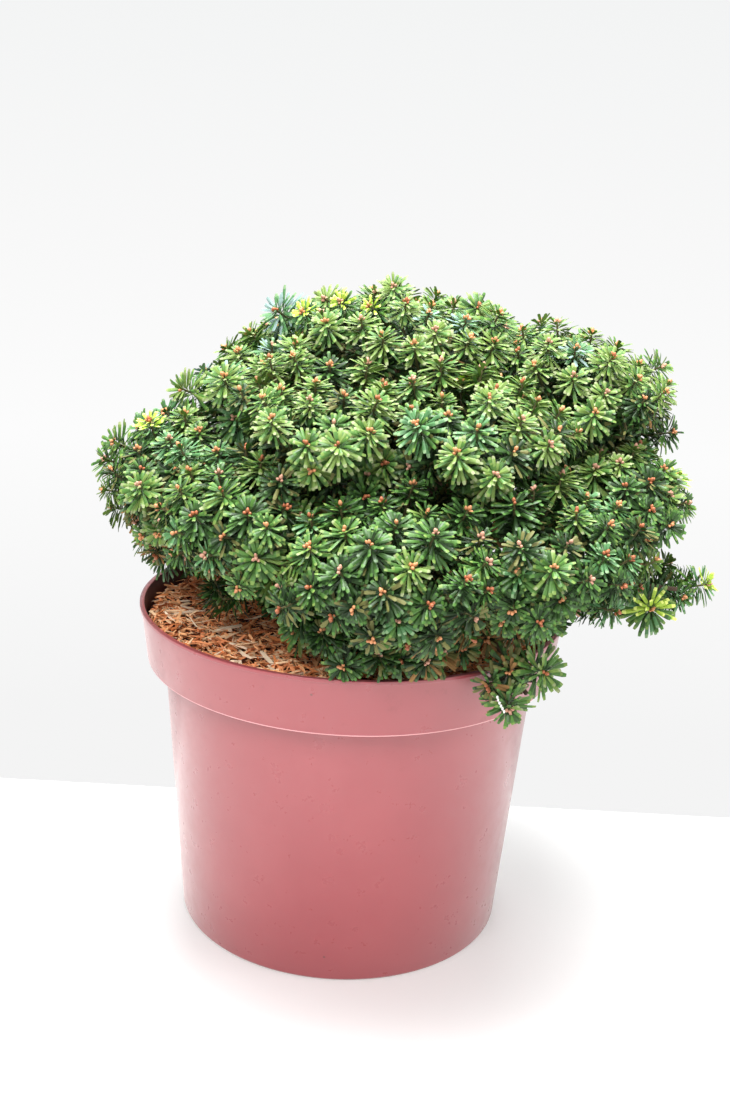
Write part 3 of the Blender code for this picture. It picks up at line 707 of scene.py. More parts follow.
    def drill(self, shell: bpy.types.Object) -> None:
        """Cut the drain holes through the raised part of the floor."""
        turn = math.tau * (np.arange(self.drain_count) + 0.5) / self.drain_count
        foot = np.stack([np.cos(turn), np.sin(turn), 0.0 * turn], -1) * self.drain_circle
        paths = np.stack([foot - self.floor * UP, foot + 2 * self.floor * UP], 1)
        radii = np.full((self.drain_count, 2), self.drain_radius)
        drills = tubes(paths, radii, self.drain_sides, np.zeros(self.drain_count, int))
        cutter = drills.piece("drills", [])
        cut = shell.modifiers.new("drain_holes", "BOOLEAN")
        cut.operation = "DIFFERENCE"
        cut.solver = "EXACT"
        cut.object = cutter
        bpy.context.view_layer.update()
        graph = bpy.context.evaluated_depsgraph_get()
        mesh = bpy.data.meshes.new_from_object(shell.evaluated_get(graph))
        shell.modifiers.clear()
        shell.data = mesh
        bpy.data.objects.remove(cutter, do_unlink=True)


CHIP_FINISHES = (
    PlainFinish("shredded_bark_dark", "#a05a34", 0.9, 0.2),
    PlainFinish("shredded_bark_russet", "#d8824d", 0.88, 0.2),
    PlainFinish("shredded_bark_red", "#ee9a68", 0.88, 0.2),
    PlainFinish("shredded_bark_orange", "#f8b680", 0.86, 0.2),
    PlainFinish("shredded_bark_tan", "#fcd2a6", 0.85, 0.2),
    PlainFinish("shredded_bark_pale", "#fde2c4", 0.84, 0.2),
)


@dataclass
class Mulch:
    """Shredded pine bark: a dark bed under thousands of strips and fibres."""

    STATIONS: ClassVar[Array] = np.array([-0.5, 0.0, 0.5])

    pot: Pot
    mean_z: float = 0.188
    tilt: float = 0.0042
    high_side: float = math.radians(-110)
    soil_z: float = 0.1763
    hole_radius: float = 0.0165
    trunk_x: float = 0.004
    edge_gap: float = 0.0014
    bed_lump: float = 0.0016
    strip_count: int = 4300
    fibre_count: int = 3000
    strip_length_mm: tuple[float, float] = (4.0, 20.0)
    strip_width_mm: tuple[float, float] = (0.8, 2.9)
    fibre_length_mm: tuple[float, float] = (4.0, 17.0)
    fibre_width_mm: tuple[float, float] = (0.35, 0.9)
    strip_length_law: tuple[float, float] = (1.4, 3.2)
    fibre_length_law: tuple[float, float] = (1.3, 2.6)
    strip_width_law: tuple[float, float] = (1.6, 3.0)
    strip_thickness: tuple[float, float] = (0.18, 0.45)
    strip_waver: float = 0.06
    strip_bend: float = 0.1
    fibre_taper: tuple[float, ...] = (0.18, 0.5, 0.15)
    fibre_lift_mm: float = 0.6
    fibre_bend: float = 0.35
    pile_mm: float = 3.6
    pile_under: float = 0.6
    bed_grain: float = 0.0005
    lean: float = 0.3
    roll: float = 0.5
    rim_band: float = 0.012
    rim_lean_share: float = 0.4
    wall_gap: float = 0.0003
    trunk_gap: float = 0.003
    tone_shares: tuple[float, ...] = (0.09, 0.18, 0.23, 0.25, 0.18, 0.07)
    # Pale chips that the photograph shows plainly, as both ends and a width
    pale_chips: tuple[tuple[float, ...], ...] = (
        (-0.079, -0.05, -0.062, -0.04, 0.0028), (-0.048, -0.082, -0.04, -0.099, 0.0024),
        (-0.06, -0.084, -0.051, -0.093, 0.0022), (-0.105, -0.02, -0.088, -0.014, 0.002))
    heap: tuple[float, float] = (0.002, -0.115)
    heap_height: float = 0.0065
    heap_width: float = 0.009

    def height(self, x: Array, y: Array) -> Array:
        """The mulch's height: a tilted plane, slow lumps made of three waves, and one small heap."""
        along = x * math.cos(self.high_side) + y * math.sin(self.high_side)
        lumps = (np.sin(95 * x + 1.1) * np.cos(83 * y + 0.4) + 0.6 * np.sin(170 * x - 140 * y)
                 + 0.4 * np.cos(260 * y + 210 * x))
        away = np.hypot(x - self.heap[0], y - self.heap[1]) / self.heap_width
        heap = self.heap_height * np.exp(-0.5 * away ** 2)
        return self.mean_z + self.tilt * along / self.pot.rim_radius + self.bed_lump * 0.5 * lumps + heap

    def build(self) -> list[bpy.types.Object]:
        """Make the bed, the strips and the fibres."""
        bed = self.bed().piece("mulch_bed", [PeatMix().material()], 70)
        finishes = [finish.material() for finish in CHIP_FINISHES]
        strips = self.strips().piece("mulch_strips", finishes, 40)
        fibres = self.fibres().piece("mulch_fibres", finishes)
        pieces = [bed, strips, fibres]
        for piece in pieces:
            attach(piece, BODY)
        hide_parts("bark_mulch")
        return pieces

    def bed(self, rings: int = 34, sides: int = 120) -> Surface:
        """The bed: a polar grid at the mulch's height with a rough skin, closed underneath."""
        rng = np.random.default_rng(SEED)
        edge = self.pot.inner_radius(self.mean_z) - self.edge_gap
        share = np.linspace(0.0, 1.0, rings)[:, None]
        angle = np.arange(sides)[None, :] * math.tau / sides
        radius = mixed(self.hole_radius, edge, share)
        x = radius * np.cos(angle) + self.trunk_x * (1.0 - share)
        y = radius * np.sin(angle)
        sunk = self.height(x, y) - self.pile_mm * MM * self.pile_under
        z = sunk + rng.normal(0.0, self.bed_grain, x.shape)
        top = np.stack([x, y, z], -1)
        soil = np.full(sides, self.soil_z)
        foot_in = np.stack([x[0], y[0], soil], -1)[None]
        ratio = (self.pot.inner_radius(self.soil_z) - self.edge_gap) / edge
        foot_out = np.stack([x[-1] * ratio, y[-1] * ratio, soil], -1)[None]
        grid = np.vstack([foot_in, foot_out, top[::-1]])
        faces = grid_faces(len(grid) + 1, sides, True) % (len(grid) * sides)
        return Surface(grid.reshape(-1, 3), faces, np.zeros(len(faces)))

    def scattered(self, rng: np.random.Generator, count: int, length_mm: tuple[float, float],
                  law: tuple[float, float]) -> tuple[Array, Array, Array, Array]:
        """Spread chips evenly over the mulch, pushed in from the wall and kept off the trunk.

        Args:
            rng: The source of chance.
            count: How many chips there are.
            length_mm: The least and the greatest length.
            law: The two numbers of the beta law that the lengths between them follow.

        Returns:
            Their middles, the ways they lie, the ways their flat sides face, and their lengths.
        """
        lengths = MM * mixed(*length_mm, rng.beta(*law, count))
        edge = self.pot.inner_radius(self.mean_z) - self.edge_gap
        radius = np.sqrt(rng.uniform(self.hole_radius ** 2, (edge - 0.001) ** 2, count))
        angle = rng.uniform(0.0, math.tau, count)
        yaw = rng.uniform(0.0, math.tau, count)
        lean = rng.normal(0.0, self.lean, count)
        middle = np.stack([radius * np.cos(angle), radius * np.sin(angle)], -1)
        way = np.stack([np.cos(yaw), np.sin(yaw)], -1)
        for sign in (-1.0, 1.0, -1.0, 1.0):
            end = middle + sign * way * lengths[:, None] / 2
            over = np.maximum(np.linalg.norm(end, axis=1) - edge, 0.0)
            middle -= unit(end) * over[:, None]
        ends_fit = np.ones(count, bool)
        for sign in (-1.0, 1.0):
            end = middle + sign * way * lengths[:, None] / 2
            ends_fit &= np.linalg.norm(end, axis=1) < edge + 0.0004
        lift = rng.uniform(-0.8, 1.0, count) * self.pile_mm * MM
        z = self.height(middle[:, 0], middle[:, 1]) + lift
        near_rim = np.linalg.norm(middle, axis=1) > edge - self.rim_band
        lean = np.where(near_rim, self.rim_lean_share * lean, lean)
        ways = unit(np.column_stack([way, lean]))
        side, over = cross_axes(ways)
        roll = rng.normal(0.0, self.roll, count)
        faces_up = unit(turned(over * np.sign(over[:, 2:3]), side, roll))
        from_trunk = np.linalg.norm(middle - [self.trunk_x, 0.0], axis=1)
        keep = ends_fit & (from_trunk > self.hole_radius + self.trunk_gap)
        middles = np.column_stack([middle, z])[keep]
        return middles, ways[keep], faces_up[keep], lengths[:len(middles)]

    def within_wall(self, points: Array) -> Array:
        """Which chips have all their points, as (chips, points, 3), inside the pot's wall."""
        radius = np.hypot(points[..., 0], points[..., 1])
        return np.all(radius < self.pot.inner_radius(points[..., 2]) - self.wall_gap, axis=1)

    def tones(self, rng: np.random.Generator, count: int) -> Array:
        """A finish number for each chip."""
        return rng.choice(len(CHIP_FINISHES), count, p=np.array(self.tone_shares))

    def strips(self) -> Surface:
        """The strips: each is a bent bar of four sides and three stations with ragged widths."""
        rng = np.random.default_rng(SEED + 1)
        middles, ways, tops, lengths = self.scattered(
            rng, self.strip_count, self.strip_length_mm, self.strip_length_law)
        count = len(middles)
        widths = MM * mixed(*self.strip_width_mm, rng.beta(*self.strip_width_law, count))
        tones = self.tones(rng, count)
        pale = np.array(self.pale_chips)
        run = pale[:, 2:4] - pale[:, :2]
        middle = (pale[:, 2:4] + pale[:, :2]) / 2
        named = slice(0, len(pale))
        middles[named] = np.column_stack([middle, self.height(*middle.T) + self.pile_mm * MM])
        ways[named] = unit(np.column_stack([run, np.zeros(len(pale))]))
        tops[named] = UP
        lengths[named] = np.linalg.norm(run, axis=1)
        widths[named] = pale[:, 4]
        tones[named] = len(CHIP_FINISHES) - 1
        thick = widths * rng.uniform(*self.strip_thickness, count)
        taper = np.stack([rng.uniform(0.35, 0.9, count), np.ones(count),
                          rng.uniform(0.25, 0.9, count)], 1)
        bend = rng.normal(0.0, self.strip_bend, count)
        waver = rng.normal(0.0, self.strip_waver, (count, 3))
        sides = np.cross(ways, tops)
        spine = (middles[:, None] + ways[:, None] * (lengths[:, None] * self.STATIONS)[..., None]
                 + tops[:, None] * (lengths * bend)[:, None, None] * (self.STATIONS ** 2)[:, None]
                 + sides[:, None] * (waver * lengths[:, None])[..., None])
        across = np.array([1.0, -1.0, -1.0, 1.0]) / 2
        over = np.array([1.0, 1.0, -1.0, -1.0]) / 2
        wide = (widths[:, None] * taper)[:, :, None, None] * across[None, None, :, None]
        deep = (thick[:, None] * taper ** 0.5)[:, :, None, None] * over[None, None, :, None]
        points = spine[:, :, None] + sides[:, None, None] * wide + tops[:, None, None] * deep
        fits = self.within_wall(points.reshape(count, 12, 3))
        template = tube_template(3, 4)[:, ::-1]
        faces = repeated(template, int(fits.sum()), 12)
        return Surface(points[fits].reshape(-1, 3), faces, np.repeat(tones[fits], len(template)))

    def fibres(self) -> Surface:
        """The fibres: thin three-sided tubes along slightly curved lines, pointed at both ends."""
        rng = np.random.default_rng(SEED + 2)
        middles, ways, tops, lengths = self.scattered(
            rng, self.fibre_count, self.fibre_length_mm, self.fibre_length_law)
        count = len(middles)
        widths = MM * rng.uniform(*self.fibre_width_mm, count)
        sides = np.cross(ways, tops)
        bend = rng.normal(0.0, self.fibre_bend, count) * lengths
        paths = (middles[:, None] + self.fibre_lift_mm * MM * UP
                 + sides[:, None] * (bend[:, None] * self.STATIONS ** 2)[..., None]
                 + ways[:, None] * (lengths[:, None] * self.STATIONS)[..., None])
        radii = widths[:, None] * np.array(self.fibre_taper)
        fits = self.within_wall(paths)
        return tubes(paths[fits], radii[fits], 3, self.tones(rng, count)[fits])


@dataclass
class Mass:
    """One mass of foliage: where it sits round the crown's axis, its size, and its bough."""

    name: str
    azimuth: float
    reach: float
    height: float
    half_size: tuple[float, float, float]
    bough_height: float
    bough_radius: float
    arrival_rise: float = 0.35
    dense: bool = True
    hangs: bool = False
    crown_x: float = 0.02

    @property
    def centre(self) -> Array:
        """The middle of the mass."""
        angle = math.radians(self.azimuth)
        return np.array([self.crown_x + self.reach * math.cos(angle),
                         self.reach * math.sin(angle), self.height])

    @property
    def radii(self) -> Array:
        """Its half sizes along X, Y and Z."""
        return np.array(self.half_size)


def rounded(width: float, height: float) -> tuple[float, float, float]:
    """The half sizes of a mass that is as deep as it is wide."""
    return (width, width, height)


LOW_Z = 0.1985
SKIRT_Z = (0.2085, 0.2185, 0.2285)
SHOULDER_Z = (0.24, 0.252)
LOW_BOUGH = 0.0028
SKIRT_BOUGH = 0.004
SHOULDER_BOUGH = 0.0042
SHOULDER = rounded(0.063, 0.05)
SKIRT = rounded(0.064, 0.042)

MASSES = (
    Mass("crown_top", 20, 0.004, 0.329, rounded(0.072, 0.05), 0.0, 0.0),
    Mass("shoulder_front_right", -60, 0.073, 0.297, SHOULDER, SHOULDER_Z[0], SHOULDER_BOUGH),
    Mass("shoulder_right", 0, 0.094, 0.313, rounded(0.064, 0.05), SHOULDER_Z[1], SHOULDER_BOUGH),
    Mass("shoulder_back_right", 60, 0.072, 0.315, SHOULDER, SHOULDER_Z[0], SHOULDER_BOUGH),
    Mass("shoulder_back_left", 120, 0.068, 0.317, SHOULDER, SHOULDER_Z[1], SHOULDER_BOUGH),
    Mass("shoulder_left", 180, 0.063, 0.302, rounded(0.063, 0.05), SHOULDER_Z[0], SHOULDER_BOUGH),
    Mass("shoulder_front_left", -120, 0.071, 0.296, SHOULDER, SHOULDER_Z[1], SHOULDER_BOUGH),
    Mass("skirt_front", -90, 0.104, 0.259, rounded(0.064, 0.038), SKIRT_Z[0], SKIRT_BOUGH),
    Mass("skirt_front_right", -50, 0.106, 0.26, SKIRT, SKIRT_Z[1], SKIRT_BOUGH),
    Mass("skirt_right", -12, 0.118, 0.277, rounded(0.054, 0.032), SKIRT_Z[2], SKIRT_BOUGH),
    Mass("skirt_back_right", 32, 0.11, 0.264, SKIRT, SKIRT_Z[0], SKIRT_BOUGH),
    Mass("skirt_back", 70, 0.104, 0.258, SKIRT, SKIRT_Z[1], SKIRT_BOUGH),
    Mass("skirt_back_left", 110, 0.104, 0.258, SKIRT, SKIRT_Z[2], SKIRT_BOUGH),
    Mass("skirt_far_left", 150, 0.104, 0.26, rounded(0.058, 0.042), SKIRT_Z[0], SKIRT_BOUGH),
    Mass("skirt_left", 188, 0.112, 0.272, rounded(0.052, 0.037), SKIRT_Z[2], SKIRT_BOUGH, 0.1),
    Mass("skirt_front_left", 228, 0.098, 0.273, rounded(0.056, 0.033), SKIRT_Z[1], SKIRT_BOUGH, 0.0),
    Mass("low_right", -9, 0.15, 0.225, (0.038, 0.026, 0.012), LOW_Z, LOW_BOUGH, 0.05, False),
    Mass("low_droop", -57, 0.127, 0.196, rounded(0.02, 0.02), LOW_Z, LOW_BOUGH, 1.0, False, True),
    Mass("low_front", -95, 0.096, 0.222, (0.056, 0.034, 0.026), LOW_Z, LOW_BOUGH, 0.05),
    Mass("low_front_left", -140, 0.082, 0.226, rounded(0.034, 0.022), LOW_Z, LOW_BOUGH, 0.05),
    Mass("low_left", 177, 0.126, 0.222, (0.03, 0.034, 0.016), LOW_Z, LOW_BOUGH, 0.05, False),
)
# Where the shoots of the open masses end, as read off the photograph: x, y, z, size, and the
# azimuth that each leans to
OPEN_TIPS = {
    "low_right": ((0.209, -0.015, 0.225, 1.05, -50), (0.1898, 0.008, 0.2303, 0.8, 10),
                  (0.1697, -0.052, 0.2205, 1.3, -85), (0.1428, -0.048, 0.2243, 1.05, -75),
                  (0.1607, -0.015, 0.2237, 1.0, -40), (0.1935, -0.022, 0.2185, 0.95, -70),
                  (0.1484, 0.0, 0.2206, 0.95, 40), (0.1748, -0.002, 0.2176, 0.9, 60),
                  (0.1613, -0.035, 0.2195, 0.95, -70), (0.199, -0.008, 0.2255, 0.8, -10)),
    "low_droop": ((0.1031, -0.12, 0.2058, 1.35, -68), (0.0855, -0.126, 0.1865, 1.1, -68),
                  (0.0745, -0.12, 0.196, 0.95, -105), (0.085, -0.118, 0.2043, 1.05, -95)),
    "low_left": ((-0.119, -0.002, 0.219, 0.95, 190), (-0.105, 0.017, 0.216, 0.8, 160),
                 (-0.13, 0.006, 0.23, 0.95, 180), (-0.096, -0.011, 0.224, 0.75, 230),
                 (-0.114, -0.022, 0.233, 0.9, 220), (-0.122, 0.026, 0.225, 0.85, 150)),
}
# Shoots that stand out past the faces of the masses in the photograph, with the same numbers
SPRIGS = (
    (0.0144, -0.006, 0.3885, 0.9, -100), (0.002, -0.008, 0.377, 0.8, -150),
    (-0.015, -0.006, 0.3785, 0.8, -110), (-0.024, 0.002, 0.3785, 1.0, -110),
    (-0.036, -0.004, 0.3715, 0.85, -110), (-0.0517, 0.006, 0.37, 1.3, -120),
    (-0.0674, 0.01, 0.3561, 1.0, 190), (-0.0805, 0.01, 0.3461, 1.0, 190),
    (-0.1044, -0.005, 0.3242, 1.25, 230), (-0.1131, -0.008, 0.3104, 1.1, 220),
    (-0.1271, -0.01, 0.301, 1.15, 235), (-0.1416, -0.014, 0.2927, 1.2, 235),
    (-0.1465, -0.016, 0.2827, 1.25, 220), (0.1725, 0.008, 0.3487, 1.0, -50),
    (0.163, 0.0, 0.339, 0.85, -40), (0.1821, 0.003, 0.3112, 1.05, -50),
    (0.061, -0.112, 0.214, 0.9, -100), (0.074, -0.099, 0.215, 0.95, -80),
    (0.09, -0.096, 0.217, 0.9, -60), (0.103, -0.084, 0.216, 0.9, -40),
    (0.0831, -0.12, 0.2468, 1.2, -85), (0.014, -0.1, 0.309, 1.0, -95),
    (0.027, -0.101, 0.308, 1.0, -80), (0.006, -0.101, 0.303, 0.95, -100),
    (0.0049, -0.11, 0.2935, 0.95, -100), (-0.0279, -0.11, 0.281, 0.95, -110),
    (-0.034, -0.105, 0.27, 0.9, -110), (0.0632, -0.005, 0.3795, 1.0, -95),
    (-0.0459, -0.085, 0.2357, 0.95, -110), (-0.0297, -0.1, 0.2146, 1.15, -110),
    (-0.0727, -0.06, 0.2206, 0.9, 195), (-0.0116, -0.11, 0.2131, 0.9, -100),
    (0.0131, -0.115, 0.2175, 0.95, -80), (-0.0021, -0.11, 0.2487, 1.1, -100),
)
# Hollows in the crown's face: x, y, z, radius, and how much of its way out a shoot there keeps
HOLLOWS = (
    (0.175, -0.04, 0.258, 0.021, 0.72), (0.121, -0.122, 0.233, 0.018, 0.8),
    (0.19, -0.025, 0.286, 0.024, 0.88), (0.176, -0.005, 0.33, 0.011, 0.82),
    (-0.027, -0.115, 0.211, 0.02, 0.55), (-0.06, -0.07, 0.21, 0.012, 0.7),
    (0.119, -0.0248, 0.3714, 0.008, 0.82), (-0.13, -0.036, 0.253, 0.011, 0.9),
    (0.0016, 0.0286, 0.3816, 0.007, 0.9), (0.03, 0.0281, 0.3825, 0.007, 0.88),
    (0.075, 0.0011, 0.3817, 0.007, 0.88),
)
# Places that the photograph shows bare: x, y, z, radius
CLEARINGS = (
    (-0.058, -0.065, 0.214, 0.022), (-0.096, -0.002, 0.34, 0.013),
)
# Places where the needles are old and thin: x, y, z, radius
WORN_PLACES = (
    (-0.107, -0.02, 0.253, 0.026), (0.055, -0.125, 0.227, 0.024),
    (0.173, -0.035, 0.258, 0.02), (0.076, -0.115, 0.194, 0.005),
    (0.08, -0.1, 0.213, 0.02),
)
# Where the photograph shows new yellow-green growth round the buds
NEW_GROWTH = np.array([
    (-0.037, -0.01, 0.37), (-0.016, -0.01, 0.378), (0.011, -0.01, 0.369), (0.036, -0.045, 0.35),
    (-0.123, -0.01, 0.275), (-0.11, -0.02, 0.289), (-0.126, 0.0, 0.234), (-0.111, 0.0, 0.222),
    (0.083, -0.12, 0.247), (0.15, -0.06, 0.262), (0.169, -0.052, 0.221), (0.209, -0.015, 0.225),
    (0.18, -0.03, 0.29),
])
# Where it shows needles that turn up their silvery undersides
SILVER_GROWTH = np.array([
    (-0.052, 0.005, 0.368), (-0.047, -0.02, 0.355), (-0.07, -0.02, 0.338), (0.023, -0.03, 0.363),
    (0.048, -0.03, 0.363), (0.103, -0.02, 0.362), (0.162, -0.05, 0.281), (0.138, -0.06, 0.242),
])
# Where it shows fresh green in the shade
LIT_GROWTH = np.array([
    (0.103, -0.12, 0.206), (0.086, -0.126, 0.187), (-0.046, -0.085, 0.236), (-0.03, -0.1, 0.215),
    (-0.002, -0.11, 0.249), (-0.012, -0.11, 0.213), (-0.073, -0.06, 0.221),
])
# White drops of dried resin on the hanging shoot
RESIN_DROPS = np.array([
    (0.0786, -0.1275, 0.195), (0.0791, -0.1275, 0.1935), (0.0799, -0.1275, 0.1918),
    (0.0808, -0.1278, 0.1903), (0.0817, -0.128, 0.1889), (0.0826, -0.1282, 0.1874),
    (0.0804, -0.1272, 0.1926),
])
CROWN_EYE = np.array([0.02, 0.0, 0.24])
VIEW_SQUASH = np.array([1.0, 0.4, 1.0])


def is_near(point: Array, place: tuple, radius: float) -> bool:
    """Whether a point shows within a radius of a place, from the front."""
    return float(np.linalg.norm((point - np.array(place)) * VIEW_SQUASH)) < radius


def is_in(point: Array, places: tuple) -> bool:
    """Whether a point shows within one of some places, each given as x, y, z and a radius."""
    return any(is_near(point, place[:3], place[3]) for place in places)


def support(normal: Array, radii: Array) -> float:
    """How far an ellipsoid reaches from its centre along a unit direction."""
    return 1.0 / math.sqrt(float(np.sum((normal / radii) ** 2)))


class Space:
    """The room that one mass keeps to.

    It is the mass's ellipsoid grown by the needles' reach, within a flat wall between it and each
    neighbour. Each wall stands across the line between the two centres, where the two ellipsoids
    have the same share of it. A last wall keeps it over the pot, or outside the rim where it hangs.
    """

    NEEDLE_REACH = 0.0165
    WALL_NEARNESS = 0.03
    WALL_GAP = 0.0006
    POT_CLEARANCE = 0.0016
    MINGLING = 0.007

    def __init__(self, mass: Mass, others: list[Mass], pot: Pot) -> None:
        """Set up the walls of a mass among the others, over a pot."""
        self.centre = mass.centre
        self.radii = mass.radii + self.NEEDLE_REACH
        normals = []
        limits = []
        for other in others:
            apart = other.centre - mass.centre
            distance = float(np.linalg.norm(apart))
            normal = apart / distance
            own = support(normal, mass.radii)
            limit = distance * own / (own + support(normal, other.radii))
            if limit < own + self.WALL_NEARNESS:
                normals.append(normal)
                limits.append(float(normal @ mass.centre) + limit - self.WALL_GAP)
        if mass.hangs:
            normals.append(-unit(mass.centre * LEVEL))
            limits.append(-(pot.rim_radius + self.POT_CLEARANCE))
        else:
            normals.append(-UP)
            limits.append(-(pot.height + self.POT_CLEARANCE))
        self.normals = np.array(normals)
        self.limits = np.array(limits)
        self.slack = np.full(len(limits), self.MINGLING)
        self.slack[-1] = 0.0

    def seam(self, point: Array) -> float:
        """The distance to the nearest wall between neighbours."""
        return float(np.min(self.limits[:-1] - self.normals[:-1] @ point))

    def room(self, point: Array) -> float:
        """The distance to the nearest wall, which is negative for a point beyond one."""
        return float(np.min(self.limits - self.normals @ point))

    def pulled_in(self, point: Array, margin: float) -> Array:
        """The point moved square away from each wall that it lies closer to than a margin."""
        for normal, limit in zip(self.normals, self.limits):
            short = margin - (limit - float(normal @ point))
            if short > 0.0:
                point = point - normal * short
        return point

    def reach(self, starts: Array, ways: Array, wanted: Array) -> Array:
        """How far straight lines may run before they leave the space.

        Needles may mingle a little with the neighbours' past the walls, but not with the pot.

        Args:
            starts: Where the lines start.
            ways: Their unit directions.
            wanted: The most that each would run.

        Returns:
            The length that each may run, which is zero outside the space.
        """
        begun = (starts - self.centre) / self.radii
        going = ways / self.radii
        a = np.sum(going * going, -1)
        b = np.sum(begun * going, -1)
        c = np.sum(begun * begun, -1) - 1.0
        edge = np.where(c < 0.0, (-b + np.sqrt(np.maximum(b * b - a * c, 0.0))) / a, 0.0)
        rate = ways @ self.normals.T
        room = np.maximum(self.limits + self.slack - starts @ self.normals.T, 0.0)
        walls = np.where(rate > 0.0, room / np.maximum(rate, 1e-9), np.inf).min(1)
        return np.minimum(np.minimum(edge, walls), wanted)


@dataclass
class Limb:
    """A bough's path with its radii, and the way its tip points."""

    points: Array
    radii: Array
    heading: Array


@dataclass
class Wood:
    """The trunk and the boughs: their paths, and a skin with the bark's relief."""

    pot: Pot
    foot_z: float = 0.1763
    steps: tuple[tuple[float, float], ...] = (
        (0.0, 0.0158), (0.005, 0.0134), (0.014, 0.0116), (0.035, 0.0102), (0.06, 0.0082),
        (0.085, 0.0062), (0.106, 0.0046))
    foot_x: float = 0.004
    lean_x: float = 0.016
    bend_y: float = 0.003
    flare_ribs: int = 5
    flare_relief: float = 0.14
    flare_fade: float = 0.012
    tip_radius: float = 0.0022
    inner_share: float = 0.42
    stand_off: float = 0.004
    leave_share: float = 0.4
    leave_rise: float = 0.2
    arrive_share: float = 0.22
    ridge_depth: float = 0.045
    trunk_rings: int = 90
    trunk_sides: int = 72
    bough_rings: int = 36
    bough_sides: int = 14

    def axis(self, z: Array) -> Array:
        """The middle of the trunk at heights: it leans to the right, and bends a little back."""
        z = np.asarray(z, float)
        rise = (z - self.foot_z) / self.steps[-1][0]
        return np.stack([self.foot_x + self.lean_x * rise, self.bend_y * rise * rise, z], -1)

    def inner_face(self, mass: Mass) -> tuple[Array, float]:
        """The flat inner side of a mass, as a normal and its distance from the mass's centre."""
        inward = unit(CROWN_EYE - mass.centre)
        return inward, self.inner_share * support(inward, mass.radii)

    def bough(self, mass: Mass) -> Limb:
        """A mass's bough, from inside the trunk to the mass's space."""
        share = np.linspace(0.0, 1.0, self.bough_rings)
        start = self.axis(mass.bough_height)
        back = unit(unit(start - mass.centre) + mass.arrival_rise * UP)
        inward, distance = self.inner_face(mass)
        tip = mass.centre + back * (distance / float(inward @ back) + self.stand_off)
        run = float(np.linalg.norm((tip - start) * LEVEL))
        out = unit((tip - start) * LEVEL)
        leave = start + out * self.leave_share * run + UP * self.leave_rise * (tip[2] - start[2])
        arrive = tip + back * self.arrive_share * run
        radii = mixed(mass.bough_radius, self.tip_radius, share)
        return Limb(bezier(start, leave, arrive, tip, share), radii, -back)

    def top(self) -> Limb:
        """The trunk's own tip, which stands in for a bough under the top mass."""
        tip = self.axis(self.foot_z + self.steps[-1][0])
        return Limb(np.array([tip - 0.01 * UP, tip]), np.full(2, self.steps[-1][1]), UP)

    def barked(self, path: Array, radii: Array, sides: int, ribs: Array, seed: int,
               ) -> tuple[Surface, Array]:
        """A limb whose skin has lengthwise ridges and the small bumps of old needle bases.

        Each point is path + radius (1 + ribs + ridges + bumps) square to the path, where the ridges
        are waves round the limb whose phase wanders along it.

        Args:
            path: Points along the limb.
            radii: The radius at each of them.
            sides: How many points a ring has.
            ribs: The root flare's relief, as a share of the radius, for each ring and side.
            seed: What the chance starts from.

        Returns:
            The closed surface, and each corner's place round and along the limb, in metres.
        """
        rng = np.random.default_rng(seed)
        rings = len(path)
        angle = np.arange(sides)[None, :] * math.tau / sides
        run = np.concatenate([[0.0], np.cumsum(np.linalg.norm(np.diff(path, axis=0), axis=1))])
        metres = run[:, None]
        waves = np.zeros((rings, sides))
        for turns in (5, 8, 13):
            wander = np.sin(metres * rng.uniform(60, 160) + rng.uniform(0, math.tau))
            waves += np.sin(turns * angle + 1.4 * wander + rng.uniform(0, math.tau)) / 3
        bumps = np.maximum(np.sin(7 * angle + 900 * metres) * np.sin(1500 * metres - 3 * angle), 0.0)
        swell = 1.0 + ribs + self.ridge_depth * waves + 0.6 * self.ridge_depth * bumps
        points = path[:, None] + (radii[:, None] * swell)[..., None] * circles(path[None], sides)[0]
        faces = tube_template(rings, sides)
        row, column = np.divmod(faces, sides)
        wraps = (column.max(1) - column.min(1) > sides // 2)[:, None] & (column == 0)
        round_share = np.where(wraps, sides, column) / sides
        girth = math.tau * float(radii.mean())
        uv = np.stack([round_share * girth, run[row]], -1)
        return Surface(points.reshape(-1, 3), faces, np.zeros(len(faces), int)), uv.reshape(-1, 2)

    def build(self, limbs: dict[str, Limb]) -> list[bpy.types.Object]:
        """Make the trunk, and as one piece the boughs, which come by the names of their masses."""
        bark = YoungFirBark().material()
        rises = np.linspace(0.0, self.steps[-1][0], self.trunk_rings)
        radii = np.interp(rises, *np.array(self.steps).T)
        angle = np.arange(self.trunk_sides)[None, :] * math.tau / self.trunk_sides
        fade = self.flare_relief * np.exp(-rises / self.flare_fade)[:, None]
        ribs = fade * np.cos(self.flare_ribs * angle)
        surface, uv = self.barked(self.axis(self.foot_z + rises), radii, self.trunk_sides, ribs, SEED)
        trunk = surface.piece("trunk_bark", [bark], 50, uv)
        parts = [self.barked(limb.points, limb.radii, self.bough_sides, np.zeros((1, 1)), SEED + k)
                 for k, limb in enumerate(limbs.values())]
        boughs = joined([part for part, _ in parts]).piece(
            "bough_bark", [bark], 50, np.vstack([uv for _, uv in parts]))
        for piece in (trunk, boughs):
            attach(piece, BODY)
        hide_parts("trunk")
        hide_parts(*("bough_" + name for name in limbs))
        return [trunk, boughs]


class Tone(IntEnum):
    """The look of a needle, by its age and its spray; the shade, deep and bright tones are also painted
    shade and light.
    """

    SHADE = 0
    DEEP = 1
    LEAF = 2
    COOL = 3
    BRIGHT = 4
    NEW = 5
    OLD = 6
    DEAD = 7
    SILVER = 8


class NeedlePart(IntEnum):
    """The parts of a needle that take their own colour: painted shade at the base, painted light at tip
    and underside.
    """

    INNER = 0
    MIDDLE = 1
    TIP = 2
    UNDER = 3


